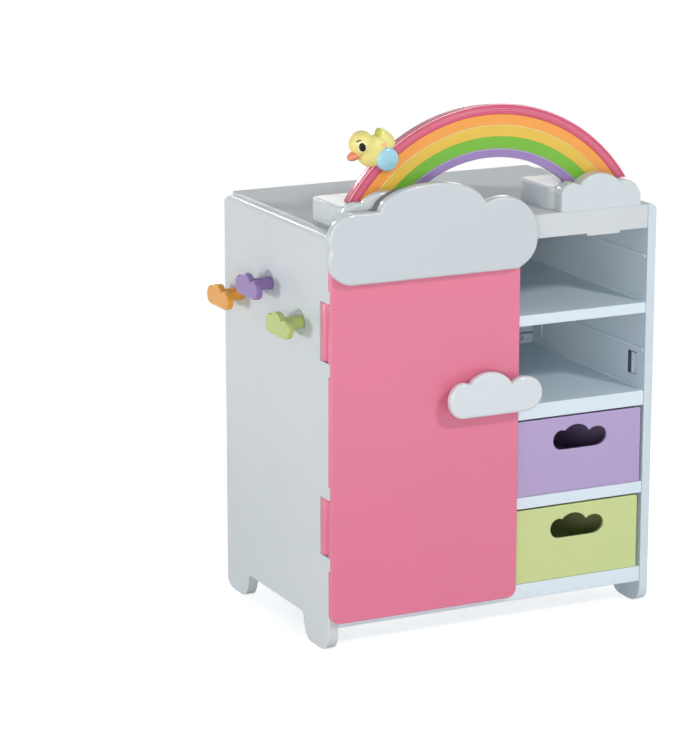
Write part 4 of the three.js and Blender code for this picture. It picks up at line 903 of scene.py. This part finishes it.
def tray(low, high):
    """Box open at the top: rings of its plan go up the outside from the rounded bottom, over the round rim,
    and down the inside to the floor."""
    outline = rounded_rectangle(high[0] - low[0], high[1] - low[1], TRAY_CORNER)
    half, floor = TRAY_WALL / 2, low[2] + TRAY_WALL
    rows = [(TRAY_EDGE + FACE_RING, low[2])]
    rows += [(inset, low[2] + depth) for inset, depth in quarter_round(TRAY_EDGE)]
    rim = np.linspace(0, math.pi, 9)
    rows += [(half * (1 - math.cos(a)), high[2] - half * (1 - math.sin(a))) for a in rim]
    rows += [(TRAY_WALL + inset, floor + depth) for inset, depth in quarter_round(TRAY_EDGE)[::-1]]
    rows.append((TRAY_WALL + TRAY_EDGE + FACE_RING, floor))
    rings = []
    for inset, level in rows:
        plan = outline(inset)
        rings.append(np.stack([low[0] + plan[:, 0], low[1] + plan[:, 1], np.full(len(plan), level)], -1))
    return closed_surface(rings)


for color, paint in DRAWER_COLORS.items():
    node = f"{color}_drawer"
    low, middle, high = corners_of(node)
    grip_place = np.array([
        middle[0] - GRIP_SIZE[0] / 2 + GRIP_SHIFT, 0, high[2] - GRIP_TOP_INSET - GRIP_SIZE[1]])
    grip = plate(cloud_edge(SMALL_CLOUD, GRIP_SIZE, 120), *GRIP_CUT_REACH, 0, 0, 2)
    tray_low, tray_high = low + [TRAY_INSET, TRAY_SETBACK, 0], high - [TRAY_INSET, 0, TRAY_DROP]
    box = make_mesh(f"{node}_finished", tray(tray_low, tray_high))
    front = make_mesh("front", front_with_grip(low, high, grip_place))
    mesh = joined(carved(box, moved(grip, grip_place)), front)
    drawer_plastic = plastic(f"{color} drawer plastic", paint, 0.34, 0.03, coat=0.4)
    add_piece(mesh, drawer_plastic, f"drawer_{color}", f"{color}_plastic", node)

# Plinths: two low blocks of white plastic, rounded at their corners and upper edges. They stand on
# the top and carry the feet of the rainbow.
PLINTH_CORNER = 9
PLINTH_TOP_EDGE = 2.6
PLINTH_BOTTOM_EDGE = 0.05
PLINTH_SUNK = 0.3
for side in ("left", "right"):
    low, _, high = corners_of(f"plinth_{side}")
    outline = rounded_rectangle(high[0] - low[0], high[1] - low[1], PLINTH_CORNER, 9)
    block = plate(outline, high[2], low[2] - PLINTH_SUNK, PLINTH_TOP_EDGE, PLINTH_BOTTOM_EDGE, 8)
    mesh = make_mesh(f"plinth_{side}_finished", moved(block, low * [1, 1, 0], [0, 2, 1]))
    add_piece(mesh, WHITE_PLASTIC, "cabinet", "white_plastic", f"plinth_{side}")

# Clouds on the top: two clouds of white plastic with rounded edges. They stand at the front edge,
# sunk a little into the top, and hide the feet of the rainbow.
FOOT_CLOUD = (
    [(0.14, 0.444, 0.14, 0.347), (0.464, 0.389, 0.29, 0.611), (0.765, 0.222, 0.212, 0.528)],
    [(0, 0.5, 0.444), (0.4, 0.977, 0.222)])
CLOUD_SIZE = (89.5, 33.6)
CLOUD_FRONT_EDGE = 2.4
CLOUD_REAR_EDGE = 1.2
CLOUD_SUNK = 0.3
CLOUD_PLASTIC = plastic(
    "white cloud plastic", linear(209, 217, 220), 0.34, 0.03, grain_depth=0.04, shine=0.3, coat=0.5)
for side in ("left", "right"):
    low, _, high = corners_of(f"cloud_{side}")
    outline = cloud_edge(FOOT_CLOUD, (CLOUD_SIZE[0], CLOUD_SIZE[1] + CLOUD_SUNK), 260,
                         mirrored=side == "left", eye=(0.45, 0.15), flat_base=True)
    cloud = plate(outline, low[1], high[1], CLOUD_FRONT_EDGE, CLOUD_REAR_EDGE, 8)
    start = high[0] - CLOUD_SIZE[0] if side == "left" else low[0]
    mesh = make_mesh(f"foot_cloud_{side}", moved(cloud, [start, 0, low[2] - CLOUD_SUNK]))
    add_piece(mesh, CLOUD_PLASTIC, "cabinet", "white_plastic", f"cloud_{side}")

# Rainbow: an arch of five plastic bands, pressed together and set on the plinths. The pink band
# has a seam on its rim and three fine beads on its face, the yellow and the purple one a lip. Pale lines
# along their edges and beads are painted highlights, and dark lines mark the seam and the band's joint.
BAND_EDGE = 0.4
BAND_CROWN = 0.4
HIGHLIGHT_ROSE, DARK_ROSE = linear(255, 222, 228), linear(150, 28, 62)
# Each band has a width, a colour, beads (place, width, height) and painted lines (kind, distance, half
# width, colour): pale ones are painted highlights, dark ones mark seams and joints. A ring lies inside
# the band's outer radius, and a rim line behind its front.
BANDS = {
    "pink": (
        9.9, linear(217, 96, 124), [(0.87, 0.035, 0.35), (0.6, 0.03, 0.3), (0.47, 0.03, 0.25)],
        [("ring", 0.5, 0.55, HIGHLIGHT_ROSE), ("rim", 2.6, 0.6, DARK_ROSE), ("rim", 3.9, 0.5, HIGHLIGHT_ROSE),
         ("ring", 4.4, 0.4, linear(238, 170, 190)), ("ring", 6.1, 0.35, linear(234, 160, 182)),
         ("ring", 9.6, 0.5, linear(186, 58, 70))]),
    "orange": (9.6, linear(249, 167, 84), [], []),
    "yellow": (11.3, linear(235, 196, 84), [(0.95, 0.04, 0.35)], [("ring", 0.5, 0.6, linear(252, 226, 178))]),
    "green": (11.3, linear(124, 190, 68), [], []),
    "purple": (8.4, linear(160, 134, 190), [(0.93, 0.05, 0.35)], [("ring", 0.6, 0.7, linear(206, 198, 224))]),
}
RIM_LINES_FROM = 100


def band_profile(outer, inner, front, rear, beads):
    """Closed profile of one band in radius and depth: a rectangle with rounded corners, whose front face
    rises at each bead by height times exp(-((share - place) / width)^2), share being that of the band."""
    radii = np.linspace(inner + BAND_EDGE, outer - BAND_EDGE, 60)
    share = (radii - inner) / (outer - inner)
    rise = 0 * share
    for place, width, height in beads:
        rise += height * np.exp(-((share - place) / width) ** 2)
    level = front + BAND_CROWN
    def corner(radius, depth, out, back):
        return [(radius - out * inset, depth - back * sunk) for inset, sunk in quarter_round(BAND_EDGE)]
    return np.concatenate([
        np.stack([radii, level - rise], 1), corner(outer, level, 1, -1)[1:], corner(outer, rear, 1, 1)[::-1],
        corner(inner, rear, -1, 1), corner(inner, level, -1, -1)[:0:-1]])


def band(profile, centre, rise, steps=120):
    """Band swept round a centre. A point of the profile at radius r runs from the angle whose sine is
    rise / r to the same angle on the other side, so that both feet end level."""
    radius, depth = profile[:, 0], profile[:, 1]
    foot = np.arcsin(rise / radius)
    share = np.linspace(0, 1, steps)[:, None]
    turn = foot + share * (math.pi - 2 * foot)
    rings = np.stack([radius * np.cos(turn), depth + 0 * turn, radius * np.sin(turn)], -1)
    return closed_surface(rings + centre)


def thin_line():
    """Node group for a thin line: 1 where |(point - centre) * weights| is equal to a place, and 0 from a
    half width to both sides of it. The weights (1, 0, 1) give a ring about y, and (0, 1, 0) a line at one
    depth."""
    group, add, given = new_group(
        "thin line", {"Centre": "Vector", "Weights": "Vector", "Place": "Float", "Half Width": "Float"},
        {"Mask": "Float"})
    point = add("ShaderNodeTexCoord").outputs["Object"]
    away = add("ShaderNodeVectorMath", {0: point, 1: given["Centre"]}, operation="SUBTRACT")
    weighed = add("ShaderNodeVectorMath", {0: away.outputs[0], 1: given["Weights"]}, operation="MULTIPLY")
    length = add("ShaderNodeVectorMath", {0: weighed.outputs[0]}, operation="LENGTH")
    off = add("ShaderNodeMath", {0: length.outputs["Value"], 1: given["Place"]}, operation="SUBTRACT")
    far = add("ShaderNodeMath", {0: off.outputs[0]}, operation="ABSOLUTE")
    mask = add("ShaderNodeMapRange", {
        "Value": far.outputs[0], "From Max": given["Half Width"], "To Min": 1.0, "To Max": 0.0},
        interpolation_type="SMOOTHSTEP")
    add("NodeGroupOutput", {"Mask": mask.outputs[0]})
    return group


LINE = thin_line()
low, middle, high = corners_of("rainbow_pink")
arch_half, arch_rise = (high[0] - low[0]) / 2, high[2] - low[2]
ARCH_FRONT, ARCH_MIDDLE, ARCH_REAR = low[1], middle[1], high[1]
ARCH_RADIUS = (arch_half ** 2 + arch_rise ** 2) / (2 * arch_rise)
ARCH_CENTRE = np.array([middle[0], 0, high[2] - ARCH_RADIUS])


def line_mark(kind, distance, half_width, paint, outer):
    """Painted line on a band: a ring at a distance inside the outer radius, or a line on the rim at a
    distance behind the front."""
    if kind == "ring":
        centre, weights, place = ARCH_CENTRE, (1, 0, 1), outer - distance
    else:
        centre, weights, place = (0, ARCH_FRONT - RIM_LINES_FROM, 0), (0, 1, 0), RIM_LINES_FROM + distance
    values = {"Centre": Vector(centre) * MM + CORNER, "Weights": weights,
              "Place": place * MM, "Half Width": half_width * MM}
    return LINE, values, paint


outer = ARCH_RADIUS
for color, (width, paint, beads, lines) in BANDS.items():
    inner = outer - width
    profile = band_profile(outer, inner, ARCH_FRONT, ARCH_REAR, beads)
    mesh = make_mesh(f"band_{color}", band(profile, ARCH_CENTRE, low[2] - ARCH_CENTRE[2]))
    marks = [line_mark(*line, outer) for line in lines]
    gloss = plastic(f"{color} rainbow plastic", paint, 0.2, grain_depth=0.04, shine=0.3, marks=marks)
    add_piece(mesh, gloss, "cabinet", f"rainbow_{color}", f"rainbow_{color}")
    outer = inner

# Bird: a small yellow plastic bird astride the rainbow, with a coral beak, black eyes and a round
# aqua wing on each side. It slides along the rim.
BIRD_ANGLE = math.radians(132.6)
BIRD_EGGS = {
    "body": ((-1, 11), (18.5, 9.8, 15.5), 0, 0), "head": ((12.8, 19.2), (11.9, 10.8, 12), 0, 0),
    "neck": ((6, 14.5), (12, 9.6, 11), 0, 0), "tail": ((-11.2, 20.2), (8.4, 6, 14.2), -35, 0.22),
}
BEAK_EGG = ((20.0, 8.3), (7.5, 5.6, 4.4), -20)
EYE_PLACE = (16.4, 17.4)
EYE_SPREAD = 10.1
EYE_EGG = ((3.5, 1.3, 4.2), -28)
BIRD_VOXEL = 0.55
SOLE_DROP = 4.5
RIM_GAP = 0.5
SADDLE_HALF = 40
SADDLE_EDGE = 0.4
# A painted spot has a place (ahead, up, across), half sizes, the share of them over which it fades, and a
# colour. Those of the sides are on both, and the one of the back is in the middle. The orange one on the
# flanks is a painted reflection of the rainbow, and the green one on the back is painted shade between the
# head and the tail.
SIDE_SPOTS = {
    "ring round the eye": ((*EYE_PLACE, 9), (4.6, 6, 5.3), 0.08, linear(250, 243, 182)),
    "front brow": ((20.2, 22.7, 7.6), (0.9, 3, 0.6), 0.3, linear(62, 48, 30)),
    "rear brow": ((18.5, 23.5, 8.6), (1.3, 3, 0.5), 0.3, linear(62, 48, 30)),
    "painted orange reflection": ((-6.8, 16.5, 9), (2.3, 4, 2.2), 0.9, linear(246, 196, 136)),
}
BACK_SHADE_SPOT = ((-3.0, 29.5, 0), (3.0, 6, 5.5), 0.5, linear(198, 200, 78))
WING_RADIUS = 11
WING_EDGE = 3.0
WING_BACK_EDGE = 0.8
WING_DISH = 1.5
WING_DISH_RADII = (7.0, 5.5, 4.0, 2.0, 0.05)
BIRD_SEAT = ARCH_CENTRE + ARCH_RADIUS * np.array([math.cos(BIRD_ANGLE), 0, math.sin(BIRD_ANGLE)])
BIRD_SEAT[1] = ARCH_MIDDLE


def bird_point(ahead, up, across=0.0):
    """Point of the bird from its seat on the rim: ahead is towards the beak, which looks to the left."""
    return BIRD_SEAT + np.array([-ahead, across, up])


def egg(centre, halves, tilt=0.0, taper=0.0, rows=40, columns=56):
    """Egg: half sizes times (w sin p cos t, w sin p sin t, cos p), where w narrows by the taper towards the
    top, tilted about y by an angle in degrees and moved to its centre."""
    pole, turn = np.meshgrid(np.linspace(0.02, math.pi - 0.02, rows),
                             np.linspace(0, 2 * math.pi, columns, endpoint=False), indexing="ij")
    wide = np.sin(pole) * (1 - taper * np.cos(pole))
    points = np.stack([wide * np.cos(turn), wide * np.sin(turn), np.cos(pole)], -1) * halves
    c, s = math.cos(math.radians(tilt)), math.sin(math.radians(tilt))
    points = points @ np.array([[c, 0, -s], [0, 1, 0], [s, 0, c]])
    return closed_surface(points + centre)


eggs = [egg(bird_point(*place), *rest) for place, *rest in BIRD_EGGS.values()]
bird = make_mesh("bird_body_finished", *eggs)
bird = remade(bird, ("REMESH", {"mode": "VOXEL", "voxel_size": BIRD_VOXEL * MM}),
              ("SMOOTH", {"factor": 0.5, "iterations": 12}))
arch_cut = [(ARCH_RADIUS + RIM_GAP, ARCH_FRONT - RIM_GAP), (ARCH_RADIUS + RIM_GAP, ARCH_REAR + RIM_GAP)]
arch = lathe(arch_cut, "y", ARCH_CENTRE, count=360)
sole = bird_point(0, -SOLE_DROP)
under = rounded_block(sole - SADDLE_HALF, sole + [SADDLE_HALF, SADDLE_HALF, 0], SADDLE_EDGE)
bird = carved(bird, arch, under)


def soft_spot():
    """Node group for a painted spot: 1 inside an ellipsoid round a point, and 0 from a little outside it."""
    group, add, given = new_group(
        "soft spot", {"Centre": "Vector", "Halves": "Vector", "Blur": "Float"}, {"Mask": "Float"})
    point = add("ShaderNodeTexCoord").outputs["Object"]
    away = add("ShaderNodeVectorMath", {0: point, 1: given["Centre"]}, operation="SUBTRACT")
    share = add("ShaderNodeVectorMath", {0: away.outputs[0], 1: given["Halves"]}, operation="DIVIDE")
    length = add("ShaderNodeVectorMath", {0: share.outputs[0]}, operation="LENGTH")
    far = add("ShaderNodeMath", {0: 1.0, 1: given["Blur"]}, operation="ADD")
    mask = add("ShaderNodeMapRange", {
        "Value": length.outputs["Value"], "From Min": 1.0, "From Max": far.outputs[0],
        "To Min": 1.0, "To Max": 0.0}, interpolation_type="SMOOTHSTEP")
    add("NodeGroupOutput", {"Mask": mask.outputs[0]})
    return group


SPOT = soft_spot()


def spot_mark(point, halves, blur, paint):
    """Painted spot at a point of the bird, with its half sizes and the share of them over which it fades."""
    return SPOT, {"Centre": Vector(point * MM) + CORNER, "Halves": Vector(halves) * MM, "Blur": blur}, paint


(ahead, up, across), *rest = BACK_SHADE_SPOT
spots = [spot_mark(bird_point(ahead, up, across), *rest)]
for side in (-1, 1):
    spots += [spot_mark(bird_point(ahead, up, side * across), *rest)
              for (ahead, up, across), *rest in SIDE_SPOTS.values()]
BIRD_YELLOW = plastic("bird yellow plastic", linear(240, 226, 138), 0.42, grain_depth=0.1, marks=spots)
BIRD_CORAL = plastic("coral plastic", linear(235, 145, 108), 0.4)
BIRD_AQUA = plastic("aqua plastic", linear(160, 214, 232), 0.22, coat=0.6)
BIRD_BLACK = plastic("black plastic", linear(24, 17, 20), 0.25, shine=0.25)
place, *rest = BEAK_EGG
beak = make_mesh("bird_beak_finished", egg(bird_point(*place), *rest))
add_piece(bird, BIRD_YELLOW, "bird", "bird_yellow", "bird_body")
add_piece(beak, BIRD_CORAL, "bird", "bird_coral", "bird_beak")
for side, name in ((-1, "front"), (1, "rear")):
    low, middle, high = corners_of(f"bird_wing_{name}")
    near, far = (high[1], low[1]) if side < 0 else (low[1], high[1])
    rim = [(WING_RADIUS - inset, far - side * (WING_DISH + depth))
           for inset, depth in quarter_round(WING_EDGE, 8)[::-1]]
    dish = [(r, far - side * WING_DISH * (r / (WING_RADIUS - WING_EDGE)) ** 2) for r in WING_DISH_RADII]
    back = [(WING_RADIUS - WING_BACK_EDGE, near), (WING_RADIUS, near + side * WING_BACK_EDGE)]
    wing = make_mesh(f"bird_wing_{name}_finished", lathe([*back, *rim, *dish], "y", middle * FLAT, count=80))
    eye = make_mesh(f"bird_eye_{name}_finished", egg(bird_point(*EYE_PLACE, side * EYE_SPREAD), *EYE_EGG))
    add_piece(wing, BIRD_AQUA, "bird", "bird_aqua", f"bird_wing_{name}")
    add_piece(eye, BIRD_BLACK, "bird", "bird_black", f"bird_eye_{name}")
